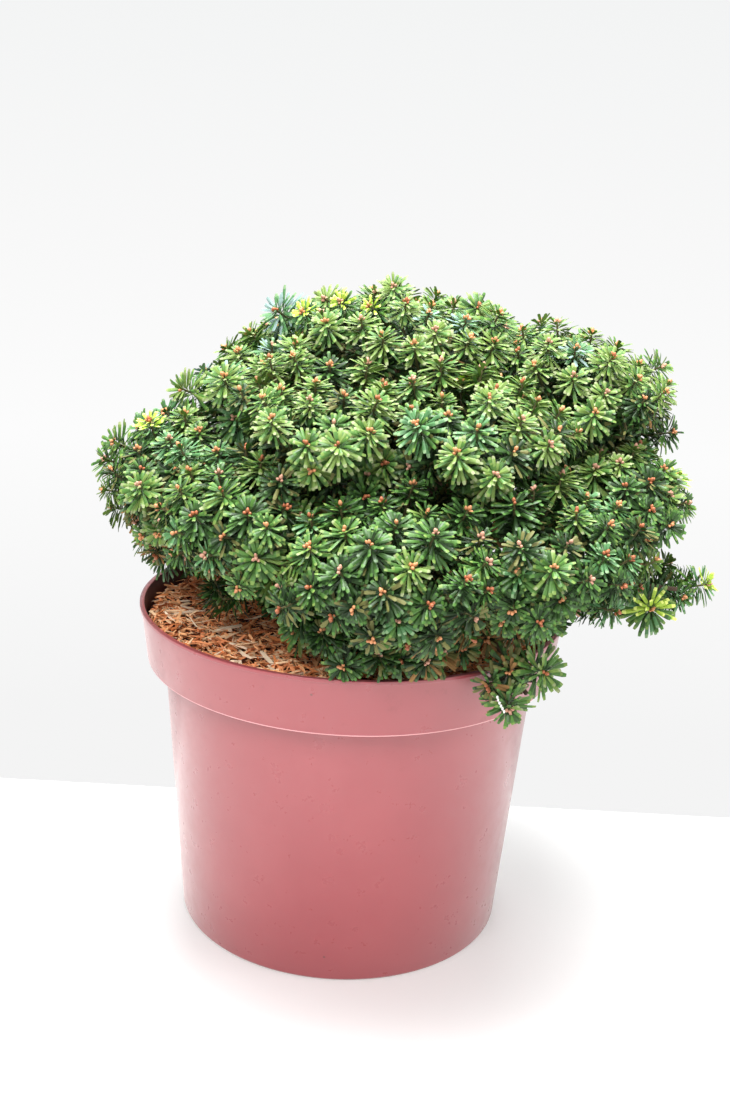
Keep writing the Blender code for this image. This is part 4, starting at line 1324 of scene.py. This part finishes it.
class Green(IntEnum):
    """The finishes that needles share."""

    SHADED = 0
    DEEP = 1
    MID = 2
    LIGHT = 3
    # A painted highlight for the lit tone's tips
    PALE_TIP = 4
    COOL = 5
    # A painted highlight for the cool tone's tips and undersides
    COOL_TIP = 6
    WAXY = 7
    NEW = 8
    NEW_TIP = 9
    OLIVE = 10
    DEAD = 11


NEEDLE_FINISHES = (
    PlainFinish("fir_needle_shaded", "#1a3210", 0.5, 0.3),
    PlainFinish("fir_needle_deep", "#30521f", 0.45, 0.4),
    PlainFinish("fir_needle_green", "#49712f", 0.48, 0.35),
    PlainFinish("fir_needle_light_green", "#6b853e", 0.5, 0.35),
    # A painted highlight on the tips of the lit tone
    PlainFinish("fir_needle_painted_highlight_tip", "#848f63", 0.55, 0.3),
    PlainFinish("fir_needle_cool_green", "#4a7748", 0.48, 0.35),
    # A painted highlight on the tips and undersides of the cool tone
    PlainFinish("fir_needle_cool_painted_highlight", "#749168", 0.55, 0.3),
    PlainFinish("fir_needle_waxy_underside", "#7f9792", 0.6, 0.3),
    PlainFinish("fir_needle_new_growth", "#9dbb3c", 0.5, 0.4),
    PlainFinish("fir_needle_new_tip", "#d2de72", 0.5, 0.4),
    PlainFinish("fir_needle_olive", "#666638", 0.6, 0.3),
    PlainFinish("fir_needle_dead", "#8a683f", 0.75, 0.2),
)
TWIG_FINISHES = (
    PlainFinish("fir_twig_old", "#564538", 0.85, 0.3),
    PlainFinish("fir_twig_young", "#585334", 0.75, 0.3),
)
BUD_FINISHES = (
    PlainFinish("fir_bud_orange", "#c4865a", 0.45, 0.5),
    PlainFinish("fir_bud_russet", "#a8623f", 0.45, 0.5),
    PlainFinish("fir_bud_pink", "#bb8b74", 0.5, 0.5),
    PlainFinish("dried_resin", "#f1f1ec", 0.35, 0.5),
)
# For each tone, the finish of a needle's inner part (painted shade), middle, tip and underside (painted
# light)
TONE_TABLE = np.array([
    (Green.SHADED, Green.SHADED, Green.DEEP, Green.DEEP),
    (Green.SHADED, Green.DEEP, Green.MID, Green.MID),
    (Green.DEEP, Green.MID, Green.LIGHT, Green.LIGHT),
    (Green.DEEP, Green.COOL, Green.COOL_TIP, Green.COOL_TIP),
    (Green.LIGHT, Green.LIGHT, Green.PALE_TIP, Green.LIGHT),
    (Green.LIGHT, Green.NEW, Green.NEW_TIP, Green.NEW),
    (Green.SHADED, Green.OLIVE, Green.OLIVE, Green.OLIVE),
    (Green.DEAD, Green.DEAD, Green.DEAD, Green.DEAD),
    (Green.COOL, Green.WAXY, Green.WAXY, Green.WAXY),
])
# For each tone of a spray, the tones that its needles take by chance
NEEDLE_TONES = {
    Tone.SHADE: (Tone.SHADE, Tone.SHADE, Tone.SHADE, Tone.DEEP, Tone.OLD),
    Tone.DEEP: (Tone.DEEP, Tone.DEEP, Tone.DEEP, Tone.LEAF, Tone.SHADE),
    Tone.LEAF: (Tone.LEAF, Tone.LEAF, Tone.LEAF, Tone.DEEP, Tone.BRIGHT),
    Tone.COOL: (Tone.COOL, Tone.COOL, Tone.COOL, Tone.LEAF, Tone.DEEP),
    Tone.BRIGHT: (Tone.BRIGHT, Tone.BRIGHT, Tone.BRIGHT, Tone.LEAF, Tone.LEAF),
    Tone.NEW: (Tone.LEAF, Tone.LEAF, Tone.COOL, Tone.DEEP),
    Tone.OLD: (Tone.OLD, Tone.OLD, Tone.SHADE, Tone.DEEP, Tone.DEAD),
    Tone.SILVER: (Tone.SILVER, Tone.COOL, Tone.COOL),
}


@dataclass(frozen=True)
class NeedleForm:
    """A needle's outline: stations along it, with half widths and ridge heights as shares of its width.

    Each point is base + way (length s) + top (bend length s squared + ridge) + side (half width). Two
    edges and a raised middle line run along the top, the underside is flat, and the tip is blunt.
    """

    stations: tuple[float, ...]
    half_widths: tuple[float, ...]
    ridges: tuple[float, ...]

    def layout(self) -> tuple[Array, Array, Array]:
        """The shares along, across and over for each point, from the base out."""
        along = [0.0]
        across = [0.0]
        over = [0.0]
        for station, half, ridge in zip(self.stations, self.half_widths, self.ridges):
            along += [station] * 3
            across += [-half, 0.0, half]
            over += [0.0, ridge, 0.0]
        tip = [len(along) - 3, len(along) - 1]
        keep = list(range(tip[0])) + tip
        return np.array(along)[keep], np.array(across)[keep], np.array(over)[keep]

    def template(self) -> tuple[Array, Array]:
        """The faces of one needle, and the part that each belongs to."""
        faces = [(0, 3, 2), (0, 2, 1), (0, 1, 3)]
        parts = [NeedlePart.INNER, NeedlePart.INNER, NeedlePart.UNDER]
        rings = len(self.stations) - 1
        for k in range(rings - 1):
            left, middle, right = 1 + 3 * k, 2 + 3 * k, 3 + 3 * k
            faces += [(middle, right, right + 3), (middle, right + 3, middle + 3),
                      (left, middle, middle + 3), (left, middle + 3, left + 3),
                      (left, left + 3, right + 3), (left, right + 3, right)]
            parts += [NeedlePart.MIDDLE] * 4 + [NeedlePart.UNDER] * 2
        left, middle, right = 3 * rings - 2, 3 * rings - 1, 3 * rings
        tip_left, tip_right = right + 1, right + 2
        faces += [(middle, right, tip_right), (middle, tip_right, tip_left), (left, middle, tip_left),
                  (left, tip_left, tip_right), (left, tip_right, right)]
        parts += [NeedlePart.TIP] * 3 + [NeedlePart.UNDER] * 2
        return np.array(faces), np.array(parts)

    def surface(self, needles: "Needles") -> Surface:
        """All the needles as one surface."""
        along, across, over = self.layout()
        template, parts = self.template()
        sides = np.cross(needles.ways, needles.tops)
        lengths = needles.lengths[:, None]
        widths = needles.widths[:, None]
        forward = (lengths * along)[..., None]
        lift = (needles.bends[:, None] * lengths * along ** 2 + widths * over)[..., None]
        sideways = (widths * across)[..., None]
        points = (needles.bases[:, None] + needles.ways[:, None] * forward
                  + needles.tops[:, None] * lift + sides[:, None] * sideways)
        faces = repeated(template, len(needles.bases), len(along))
        slots = TONE_TABLE[needles.tones][:, parts]
        return Surface(points.reshape(-1, 3), faces, slots.ravel())


FULL_NEEDLE = NeedleForm((0.4, 0.86, 1.0), (0.4, 0.5, 0.34), (0.22, 0.2, 0.0))
SLIM_NEEDLE = NeedleForm((0.7, 1.0), (0.5, 0.32), (0.22, 0.0))


@dataclass
class Needles:
    """Many needles: where each starts, the way it runs and faces, its size, bend and tone."""

    bases: Array
    ways: Array
    tops: Array
    lengths: Array
    widths: Array
    bends: Array
    tones: Array

    def arrays(self) -> list[Array]:
        """The arrays in their order."""
        return [getattr(self, item.name) for item in fields(self)]

    def kept(self, keep: Array) -> "Needles":
        """Only the needles that a mask keeps."""
        return Needles(*(values[keep] for values in self.arrays()))


def all_needles(groups: list[Needles]) -> Needles:
    """Many groups of needles as one."""
    return Needles(*map(np.concatenate, zip(*(group.arrays() for group in groups))))


class Rank(Enum):
    """Where a shoot stands: in the crown's face, or under it in the shade."""

    OUTER = "outer"
    UNDER = "under"


@dataclass
class Shoot:
    """One shoot: its tip, the way it faces, the fork it grows from, its size and its tone.

    A free shoot stands out past its mass's face, so its needles aren't cut to the mass's space.
    """

    STRAIGHT_END: ClassVar[float] = 0.01
    LEAVE_SHARE: ClassVar[float] = 0.3
    ARRIVE_SHARE: ClassVar[float] = 0.45

    hub: Array
    facing: Array
    root: Array
    vigour: float
    tone: Tone
    rank: Rank
    seed: int
    free: bool = False

    @property
    def straight(self) -> float:
        """The length of its straight end, which carries the rosette."""
        return self.STRAIGHT_END * self.vigour

    @property
    def length(self) -> float:
        """Its length from the fork to the tip, to the accuracy that the needles need."""
        return float(np.linalg.norm(self.hub - self.straight * self.facing - self.root)) + self.straight

    def along(self, behind: Array) -> tuple[Array, Array]:
        """The points at distances behind the tip, and the unit directions there.

        A curve leads from the fork to the straight end, and arrives as the shoot faces.
        """
        neck = self.hub - self.straight * self.facing
        run = self.length - self.straight
        leave = mixed(self.root, neck, self.LEAVE_SHARE)
        arrive = neck - self.ARRIVE_SHARE * run * self.facing
        back = behind[:, None]
        t = np.clip(1.0 - (back - self.straight) / max(run, 1e-4), 0.02, 1.0)
        s = 1.0 - t
        curve = bezier(self.root, leave, arrive, neck, t[:, 0])
        onward = unit(s * s * (leave - self.root) + 2 * s * t * (arrive - leave)
                      + t * t * (neck - arrive) + 1e-9)
        on_end = back <= self.straight
        return (np.where(on_end, self.hub - back * self.facing, curve),
                np.where(on_end, self.facing, onward))


@dataclass
class Rosettes:
    """How the needles stand on a shoot: a full rosette round the buds, and older ones further down."""

    rosette_count: int = 53
    rosette_depth: float = 0.0092
    tip_angle: float = math.radians(38)
    foot_angle: float = math.radians(105)
    angle_wobble: float = math.radians(8)
    needle_length: float = 0.0122
    tip_length_share: float = 0.55
    needle_width: float = 0.00205
    new_share: float = 0.42
    new_length_share: float = 0.55
    new_droop: float = -0.25
    older_count: int = 30
    older_reach: float = 0.033
    older_angle: float = math.radians(58)
    older_length: float = 0.0118
    under_count: int = 30
    worn_share: float = 0.75
    round_wobble: float = 0.12
    length_spread: tuple[float, float] = (0.84, 1.08)
    older_angle_wobble: float = 0.16
    older_length_spread: tuple[float, float] = (0.8, 1.1)
    width_spread: tuple[float, float] = (0.85, 1.12)
    bud_gap: float = 0.0006
    twist: float = 0.28
    bend: float = -0.15
    bend_wobble: float = 0.08
    stem_radius: float = 0.0006
    shortest_share: float = 0.45
    smooth_degrees: float = 24

    def placed(self, shoot: Shoot, rng: np.random.Generator, behind: Array, angles: Array,
               lengths: Array, tones: Array, spin: float) -> Needles:
        """Set needles round a shoot's stem at the golden angle.

        A needle's way is the stem's way turned outwards by its angle, and its top faces the tip.

        Args:
            shoot: The shoot.
            rng: The source of chance.
            behind: How far behind the tip each needle starts.
            angles: The angle between each needle and the stem.
            lengths: The needles' lengths.
            tones: Their tones.
            spin: The first needle's place round the stem.

        Returns:
            The needles.
        """
        count = len(behind)
        spots, stem = shoot.along(behind)
        first, second = cross_axes(unit(shoot.facing))
        round_stem = spin + GOLDEN_ANGLE * np.arange(count) + rng.normal(0.0, self.round_wobble, count)
        out = unit(square_to(stem, turned(first, second, round_stem)))
        ways = turned(stem, out, angles)
        tops = unit(square_to(ways, stem) + 1e-6)
        tops = turned(tops, np.cross(ways, tops), rng.normal(0.0, self.twist, count))
        bases = spots + out * self.stem_radius
        widths = self.needle_width * rng.uniform(*self.width_spread, count) * shoot.vigour ** 0.5
        bends = rng.normal(self.bend, self.bend_wobble, count)
        return Needles(bases, ways, tops, lengths, widths, bends, tones)

    def rosette(self, shoot: Shoot, rng: np.random.Generator) -> Needles:
        """The needles round the tip: short and forward by the buds, long and spread behind them."""
        count = round(self.rosette_count * shoot.vigour ** 0.6)
        if shoot.tone is Tone.OLD:
            count = round(self.worn_share * count)
        if shoot.rank is Rank.UNDER:
            count = self.under_count
        share = (np.arange(count) + 0.5) / count
        behind = self.rosette_depth * share ** 1.1 * shoot.vigour + self.bud_gap
        angles = mixed(self.tip_angle, self.foot_angle, share ** 0.7)
        angles = angles + rng.normal(0.0, self.angle_wobble, count)
        full = mixed(self.tip_length_share, 1.0, np.minimum(2.2 * share, 1.0))
        lengths = self.needle_length * shoot.vigour * full * rng.uniform(*self.length_spread, count)
        tones = rng.choice(NEEDLE_TONES[shoot.tone], count)
        needles = self.placed(shoot, rng, behind, angles, lengths, tones, rng.uniform(0.0, math.tau))
        if shoot.tone is Tone.NEW:
            new = (share < self.new_share) & (needles.ways[:, 2] > self.new_droop)
            needles.tones = np.where(new, Tone.NEW, needles.tones)
            needles.lengths[new] *= self.new_length_share / self.tip_length_share
        return needles

    def older(self, shoot: Shoot, rng: np.random.Generator) -> Needles:
        """The needles of earlier years, down the stem behind the rosette."""
        first = self.rosette_depth * shoot.vigour
        last = min(self.older_reach, shoot.length)
        count = round(self.older_count * max(last - first, 0.0) / (self.older_reach - first))
        behind = mixed(first, last, (np.arange(count) + 0.5) / max(count, 1))
        angles = self.older_angle + rng.normal(0.0, self.older_angle_wobble, count)
        lengths = self.older_length * rng.uniform(*self.older_length_spread, count)
        # Older needles down the stem take a shaded tone: painted shade
        base = Tone.OLD if shoot.tone is Tone.OLD else Tone.SHADE
        tones = rng.choice(NEEDLE_TONES[base], count)
        spin = rng.uniform(0.0, math.tau)
        return self.placed(shoot, rng, behind, angles, lengths, tones, spin)

    def trimmed(self, needles: Needles, space: Space) -> Needles:
        """Cut the needles to their mass's space, and drop those that would be stubs."""
        reach = space.reach(needles.bases, needles.ways, needles.lengths)
        keep = reach > self.shortest_share * needles.lengths
        needles.lengths = reach
        return needles.kept(keep)


@dataclass
class Growth:
    """What grows in one mass: its stem, the branches to its forks, and its shoots."""

    mass: Mass
    space: Space
    stem: Array
    branches: list[Array]
    shoots: list[Shoot]


@dataclass
class Crown:
    """The crown: each mass of foliage as forked twigs, shoots, buds and needles."""

    pot: Pot
    wood: Wood
    rosettes: Rosettes = field(default_factory=Rosettes)
    spacing: float = 0.021
    under_spacing: float = 0.03
    area_power: float = 1.6075
    packing: float = 0.87
    hub_rise: float = 0.002
    hub_jitter: float = 0.004
    leader_share: float = 0.1
    leader_rise: float = 0.0065
    wall_margin: float = 0.0065
    crowded_share: float = 0.68
    vigour: tuple[float, float] = (0.76, 1.12)
    facing_rise: float = 0.48
    hanging_rise: float = -0.1
    facing_wobble: float = 0.17
    inward_limit: float = -0.22
    outer_valley: float = 0.017
    under_valley: float = 0.023
    seam_fill: float = 0.009
    # Painted shade and light: the tone weights run from the foot's darker tones to the top's lit ones
    shade_foot: float = 0.205
    shade_top: float = 0.36
    core_count: int = 30
    core_heights: tuple[float, float] = (0.225, 0.325)
    core_reach: tuple[float, float] = (0.022, 0.048)
    foot_tones: tuple[float, ...] = (0.38, 0.4, 0.1, 0.12, 0.0)
    top_tones: tuple[float, ...] = (0.0, 0.02, 0.08, 0.25, 0.65)
    tone_power: float = 1.7
    under_depth: float = 0.015
    branch_vigour: float = 0.15
    fork_share: float = 0.5
    fork_reach: float = 0.034
    fork_size: int = 4
    worn_chance: float = 0.65
    back_silver_chance: float = 0.07
    back_new_chance: float = 0.03
    stem_rings: int = 12
    stem_tip_radius: float = 0.0013
    branch_radii: tuple[float, float] = (0.0015, 0.0011)
    shoot_radii: tuple[float, float] = (0.001, 0.0006)
    twig_rings: int = 6
    twig_sides: int = 5

    def directions(self, count: int, rng: random.Random) -> Array:
        """Unit directions spread evenly over a sphere along a golden-angle spiral."""
        steps = np.arange(count) + 0.5
        z = 1.0 - 2.0 * steps / count
        turn = steps * GOLDEN_ANGLE + rng.uniform(0.0, math.tau)
        flat = np.sqrt(1.0 - z * z)
        return np.stack([flat * np.cos(turn), flat * np.sin(turn), z], 1)

    def area(self, radii: Array) -> float:
        """A close estimate of an ellipsoid's surface."""
        a, b, c = (float(radius) ** self.area_power for radius in radii)
        return 4.0 * math.pi * ((a * b + a * c + b * c) / 3.0) ** (1.0 / self.area_power)

    def tone_of(self, hub: Array, rank: Rank, rng: random.Random) -> Tone:
        """The tone of a shoot by chance, with painted shade: the crown darkens towards its foot and is
        lit at its top.
        """
        chance = rng.random()
        if is_in(hub, WORN_PLACES) and rng.random() < self.worn_chance:
            return Tone.OLD
        light = min(max((hub[2] - self.shade_foot) / (self.shade_top - self.shade_foot), 0.0), 1.0)
        if rank is Rank.UNDER:
            return Tone.OLD if chance < mixed(0.5, 0.1, light) else Tone.SHADE
        if hub[1] > 0.0 and chance < self.back_silver_chance:
            return Tone.NEW if chance < self.back_new_chance else Tone.SILVER
        # Painted shade and light by height: shaded tones low down, lit tones at the top
        weights = mixed(np.array(self.foot_tones), np.array(self.top_tones), light ** self.tone_power)
        tones = (Tone.SHADE, Tone.DEEP, Tone.COOL, Tone.LEAF, Tone.BRIGHT)
        return rng.choices(tones, weights)[0]

    def named_shoots(self, mass: Mass, stem: Array, rows: list[tuple], seed: int) -> list[Shoot]:
        """Shoots of a mass that stand where the photograph shows them, free of its face.

        Args:
            mass: The mass.
            stem: Points along the stem inside it.
            rows: For each shoot its tip, its size and the azimuth that it leans to.
            seed: What the chance starts from.

        Returns:
            The shoots.
        """
        rng = random.Random(seed)
        rise = self.hanging_rise if mass.hangs else self.facing_rise
        shoots = []
        for x, y, z, vigour, azimuth in rows:
            hub = np.array([x, y, z])
            root = self.fork(mass, stem, hub)
            turn = math.radians(azimuth)
            lean = np.array([math.cos(turn), math.sin(turn), rise])
            facing = unit(0.5 * unit(hub - root) + 0.8 * lean)
            tone = self.tone_of(hub, Rank.OUTER, rng)
            shoots.append(Shoot(hub, facing, root, vigour, tone, Rank.OUTER, rng.randrange(1 << 30),
                                True))
        return shoots

    def core_shoots(self) -> list[Shoot]:
        """Old shoots round the trunk inside the crown, so that no light shows through its middle."""
        rng = random.Random(SEED)
        shoots = []
        for number, height in enumerate(np.linspace(*self.core_heights, self.core_count)):
            turn = number * GOLDEN_ANGLE
            out = unit(np.array([math.cos(turn), math.sin(turn), 0.3]))
            root = self.wood.axis(np.array([height]))[0]
            tone = rng.choice((Tone.OLD, Tone.SHADE, Tone.SHADE))
            shoots.append(Shoot(root + out * rng.uniform(*self.core_reach), out, root, 1.1, tone,
                                Rank.UNDER, rng.randrange(1 << 30), True))
        return shoots

    def mark(self, shoots: list[Shoot], places: Array, tone: Tone) -> None:
        """Give a tone to the outer shoot nearest to each place where the photograph shows it."""
        outer = [shoot for shoot in shoots if shoot.rank is Rank.OUTER]
        hubs = np.array([shoot.hub for shoot in outer])
        for place in places:
            outer[int(np.argmin(np.linalg.norm(hubs - place, axis=1)))].tone = tone

    def shoots_of(self, mass: Mass, space: Space, stem: Array, taken: list[Shoot],
                  rank: Rank, seed: int) -> list[Shoot]:
        """Spread one rank of shoots over a mass.

        Args:
            mass: The mass.
            space: The room that it keeps to.
            stem: Points along the stem inside it.
            taken: The shoots that stand already, which these keep off.
            rank: Whether they stand in the crown's face or under it.
            seed: What the chance starts from.

        Returns:
            The new shoots.
        """
        rng = random.Random(seed)
        outer = rank is Rank.OUTER
        spacing = self.spacing if outer else self.under_spacing
        valley = self.outer_valley if outer else self.under_valley
        depth = 0.0 if outer else self.under_depth
        radii = np.maximum(mass.radii - depth, 0.35 * mass.radii)
        count = max(round(self.area(radii) / (self.packing * spacing ** 2)), 6)
        shoots = []
        for way in self.directions(count, rng):
            wobble = np.array([rng.gauss(0.0, self.facing_wobble) for _ in range(3)])
            rise = self.hub_rise + rng.uniform(-self.hub_jitter, self.hub_jitter)
            rise += self.leader_rise if rng.random() < self.leader_share else 0.0
            vigour = rng.uniform(*self.vigour)
            skin = mass.centre + way * radii
            if space.room(skin) < -valley:
                continue
            way = unit((space.pulled_in(skin, self.wall_margin) - mass.centre) / radii)
            skin = mass.centre + way * radii
            normal = unit(way / radii)
            near_seam = 1.0 - min(max(space.seam(skin) / self.spacing, 0.0), 1.0)
            rise = normal * rise + unit(skin - CROWN_EYE) * self.seam_fill * near_seam
            hub = space.pulled_in(skin + rise, self.wall_margin)
            if is_in(hub, CLEARINGS):
                continue
            for *place, radius, share in HOLLOWS:
                if is_near(hub, place, radius):
                    hub = mixed(mass.centre, hub, share)
                    break
            nearest = self.crowded_share * self.spacing
            if any(np.linalg.norm(hub - other.hub) < nearest * (vigour + other.vigour) / 2
                   for other in taken + shoots):
                continue
            if float(normal @ unit(skin - CROWN_EYE)) < self.inward_limit:
                continue
            if not outer:
                wobble = wobble * 3.0
            facing = unit(normal + self.facing_rise * UP + wobble)
            tone = self.tone_of(hub, rank, rng)
            shoots.append(Shoot(hub, facing, self.fork(mass, stem, hub), vigour, tone, rank,
                                rng.randrange(1 << 30)))
        return shoots

    def stem_of(self, mass: Mass, limb: Limb) -> Array:
        """The stem inside a mass: it carries on from the bough's tip, to or past the middle."""
        start = limb.points[-1]
        end = mass.centre
        if not mass.dense:
            out = unit(mass.centre * LEVEL)
            onward = unit(out - mass.arrival_rise * 0.5 * UP)
            end = mass.centre + onward * 0.55 * support(onward, mass.radii)
        run = float(np.linalg.norm(end - start))
        leave = start + limb.heading * 0.4 * run
        return bezier(start, leave, mass.centre, end, np.linspace(0.0, 1.0, self.stem_rings))

    def fork(self, mass: Mass, stem: Array, hub: Array) -> Array:
        """Where a shoot forks off: part way out in a dense mass, or back along an open one's stem."""
        if mass.dense:
            return mixed(mass.centre, hub, self.fork_share)
        nearest = int(np.argmin(np.linalg.norm(stem - hub, axis=1)))
        return stem[max(nearest - 3, 0)]

    def gathered(self, mass: Mass, shoots: list[Shoot]) -> list[Array]:
        """Let neighbouring shoots share forks, and give the branch that leads to each fork."""
        branches = []
        if not mass.dense:
            return branches
        share = np.linspace(0.0, 1.0, self.twig_rings)
        waiting = list(shoots)
        while waiting:
            first = waiting[0]
            near = sorted(waiting, key=lambda shoot: float(np.linalg.norm(shoot.hub - first.hub)))
            group = [shoot for shoot in near[:self.fork_size]
                     if np.linalg.norm(shoot.hub - first.hub) < self.fork_reach]
            fork = np.mean([shoot.root for shoot in group], axis=0)
            for shoot in group:
                shoot.root = fork
            out = unit(fork - mass.centre)
            run = float(np.linalg.norm(fork - mass.centre))
            leave = mass.centre + 0.4 * run * unit(out - 0.3 * UP)
            branches.append(bezier(mass.centre, leave, fork - 0.3 * run * out, fork, share))
            waiting = [shoot for shoot in waiting if not any(shoot is one for one in group)]
        return branches

    def nearest_mass(self, row: tuple) -> Mass:
        """The dense mass whose face a sprig stands nearest to."""
        dense = [mass for mass in MASSES if mass.dense]
        return min(dense, key=lambda mass: np.linalg.norm((row[:3] - mass.centre) / mass.radii))

    def grow(self, limbs: dict[str, Limb]) -> list[Growth]:
        """Grow the shoots and the branches of every mass, from boughs by the names of the masses."""
        taken: list[Shoot] = []
        grown = []
        for number, mass in enumerate(MASSES):
            space = Space(mass, [other for other in MASSES if other is not mass], self.pot)
            limb = limbs.get(mass.name, self.wood.top())
            stem = self.stem_of(mass, limb)
            rows = [row for row in SPRIGS if self.nearest_mass(row) is mass]
            shoots = self.named_shoots(mass, stem, OPEN_TIPS.get(mass.name, rows), SEED + number)
            if mass.dense:
                for step, rank in enumerate(Rank):
                    shoots += self.shoots_of(mass, space, stem, taken + shoots, rank,
                                             SEED + number + 100 * step)
            taken += shoots
            grown.append(Growth(mass, space, stem, self.gathered(mass, shoots), shoots))
        grown[0].shoots.extend(self.core_shoots())
        self.mark(taken, LIT_GROWTH, Tone.LEAF)
        self.mark(taken, SILVER_GROWTH, Tone.SILVER)
        self.mark(taken, NEW_GROWTH, Tone.NEW)
        return grown

    def build(self, limbs: dict[str, Limb]) -> list[bpy.types.Object]:
        """Make every mass's needles, with the twigs and the buds as pieces of their own."""
        grown = self.grow(limbs)
        materials = [finish.material() for finish in NEEDLE_FINISHES]
        pieces = [self.needle_piece(growth, materials) for growth in grown]
        pieces.append(self.twig_piece(grown))
        pieces.append(self.bud_piece([shoot for growth in grown for shoot in growth.shoots]))
        for piece in pieces:
            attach(piece, BODY)
        return pieces

    def needle_piece(self, growth: Growth, materials: list) -> bpy.types.Object:
        """All the needles of one mass, which stand for its node: the branches carry old ones."""
        space = growth.space
        full = []
        slim = []
        for number, path in enumerate(growth.branches):
            inner = Shoot(path[-1], unit(path[-1] - path[-2]), path[0], self.branch_vigour, Tone.OLD,
                          Rank.UNDER, SEED + number)
            older = self.rosettes.older(inner, np.random.default_rng(inner.seed))
            slim.append(self.rosettes.trimmed(older, space))
        for shoot in growth.shoots:
            rng = np.random.default_rng(shoot.seed)
            rosette = self.rosettes.rosette(shoot, rng)
            older = self.rosettes.older(shoot, rng)
            if not shoot.free:
                rosette = self.rosettes.trimmed(rosette, space)
                older = self.rosettes.trimmed(older, space)
            (full if shoot.rank is Rank.OUTER else slim).append(rosette)
            slim.append(older)
        surfaces = [FULL_NEEDLE.surface(all_needles(full)), SLIM_NEEDLE.surface(all_needles(slim))]
        whole = joined(surfaces)
        piece = whole.piece("needles_" + growth.mass.name, materials, self.rosettes.smooth_degrees)
        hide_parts(growth.mass.name)
        log.info("%s: %d shoots, %d triangles", piece.name, len(growth.shoots), len(whole.faces))
        return piece

    def twig_piece(self, grown: list[Growth]) -> bpy.types.Object:
        """The stems, the branches to the forks, and the shoots' own stems, as tapering tubes."""
        behind = 1.0 - np.linspace(0.0, 1.0, self.twig_rings)
        stems = [growth.stem for growth in grown]
        branches = [path for growth in grown for path in growth.branches]
        shoots = [shoot.along(shoot.length * behind)[0] for growth in grown for shoot in growth.shoots]
        parts = [
            tapering(stems, (self.wood.tip_radius, self.stem_tip_radius), self.twig_sides, 0),
            tapering(branches, self.branch_radii, self.twig_sides, 0),
            tapering(shoots, self.shoot_radii, self.twig_sides, 1),
        ]
        piece = joined(parts).piece("twigs", [finish.material() for finish in TWIG_FINISHES], 50)
        return piece

    def bud_piece(self, shoots: list[Shoot]) -> bpy.types.Object:
        """A cluster of buds at the tip of each outer shoot, and the drops of resin."""
        buds = Buds()
        rows = [row for shoot in shoots if shoot.rank is Rank.OUTER for row in buds.cluster(shoot)]
        rows += [(drop, -UP, buds.drop_size, buds.drop_tone) for drop in RESIN_DROPS]
        surface = buds.surface(*(np.array(column) for column in zip(*rows)))
        piece = surface.piece("buds", [finish.material() for finish in BUD_FINISHES], 80)
        return piece


@dataclass(frozen=True)
class Buds:
    """Resinous buds: each is a blunt egg, turned round its axis."""

    heights: tuple[float, ...] = (0.18, 0.52, 0.84)
    radii: tuple[float, ...] = (0.26, 0.36, 0.22)
    sides: int = 6
    tip_size: tuple[float, float] = (0.0028, 0.0036)
    side_size: tuple[float, float] = (0.0022, 0.003)
    side_out: float = 0.0008
    side_back: float = 0.0005
    side_splay: float = 0.75
    side_wobble: float = 0.4
    drop_size: float = 0.002
    drop_tone: int = 3

    def cluster(self, shoot: Shoot) -> list[tuple]:
        """The buds at a shoot's tip as base, way, size and finish: one ahead, others round it."""
        rng = random.Random(shoot.seed)
        first, second = cross_axes(shoot.facing)
        tone = rng.choice((0, 0, 1, 2))
        rows = [(shoot.hub, shoot.facing, rng.uniform(*self.tip_size), tone)]
        count = rng.choice((1, 2, 2, 3, 3))
        spin = rng.uniform(0.0, math.tau)
        for k in range(count):
            angle = spin + math.tau * k / count + rng.uniform(-self.side_wobble, self.side_wobble)
            out = turned(first, second, angle)
            base = shoot.hub + self.side_out * out - self.side_back * shoot.facing
            way = unit(shoot.facing + self.side_splay * out)
            rows.append((base, way, rng.uniform(*self.side_size), tone))
        return rows

    def surface(self, bases: Array, ways: Array, sizes: Array, tones: Array) -> Surface:
        """All the buds as one surface.

        Args:
            bases: Where each starts.
            ways: The way each points.
            sizes: Their lengths.
            tones: A finish number for each.

        Returns:
            The surface, whose points are base + length (height way + radius out).
        """
        angle = np.arange(self.sides) * math.tau / self.sides
        high = np.array(self.heights)[:, None]
        wide = np.array(self.radii)[:, None]
        x = np.concatenate([[0.0], (wide * np.cos(angle)).ravel(), [0.0]])
        y = np.concatenate([[0.0], (wide * np.sin(angle)).ravel(), [0.0]])
        z = np.concatenate([[0.0], (high + 0.0 * angle).ravel(), [1.0]])
        first, second = cross_axes(ways)
        shape = (first[:, None] * x[:, None] + second[:, None] * y[:, None]
                 + ways[:, None] * z[:, None])
        points = bases[:, None] + sizes[:, None, None] * shape
        template = capped_faces(len(self.heights), self.sides)
        faces = repeated(template, len(bases), len(x))
        return Surface(points.reshape(-1, 3), faces, np.repeat(tones, len(template)))


def dress_root_ball() -> None:
    """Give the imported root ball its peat."""
    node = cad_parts["root_ball"]
    node.data.materials.clear()
    node.data.materials.append(PeatMix(name="damp_peat").material())


def corners(box: tuple) -> list[list[float]]:
    """A box as plain lists."""
    return [[float(value) for value in corner] for corner in box]


def main() -> None:
    """Build every sub-assembly in order, and note the sizes."""
    logging.basicConfig(level=logging.INFO, format="%(message)s")
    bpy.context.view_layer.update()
    Viewpoint().build()
    Studio().build()
    pot = Pot()
    pieces = [pot.build()]
    dress_root_ball()
    pieces += Mulch(pot).build()
    wood = Wood(pot)
    limbs = {mass.name: wood.bough(mass) for mass in MASSES if mass.bough_height > 0.0}
    pieces += wood.build(limbs)
    pieces += Crown(pot, wood).build(limbs)
    for piece in pieces:
        log.info("built %s with %d faces", piece.name, len(piece.data.polygons))
    log.info("%d triangles in all", sum(len(piece.data.polygons) for piece in pieces))


if __name__ == "__main__":
    main()
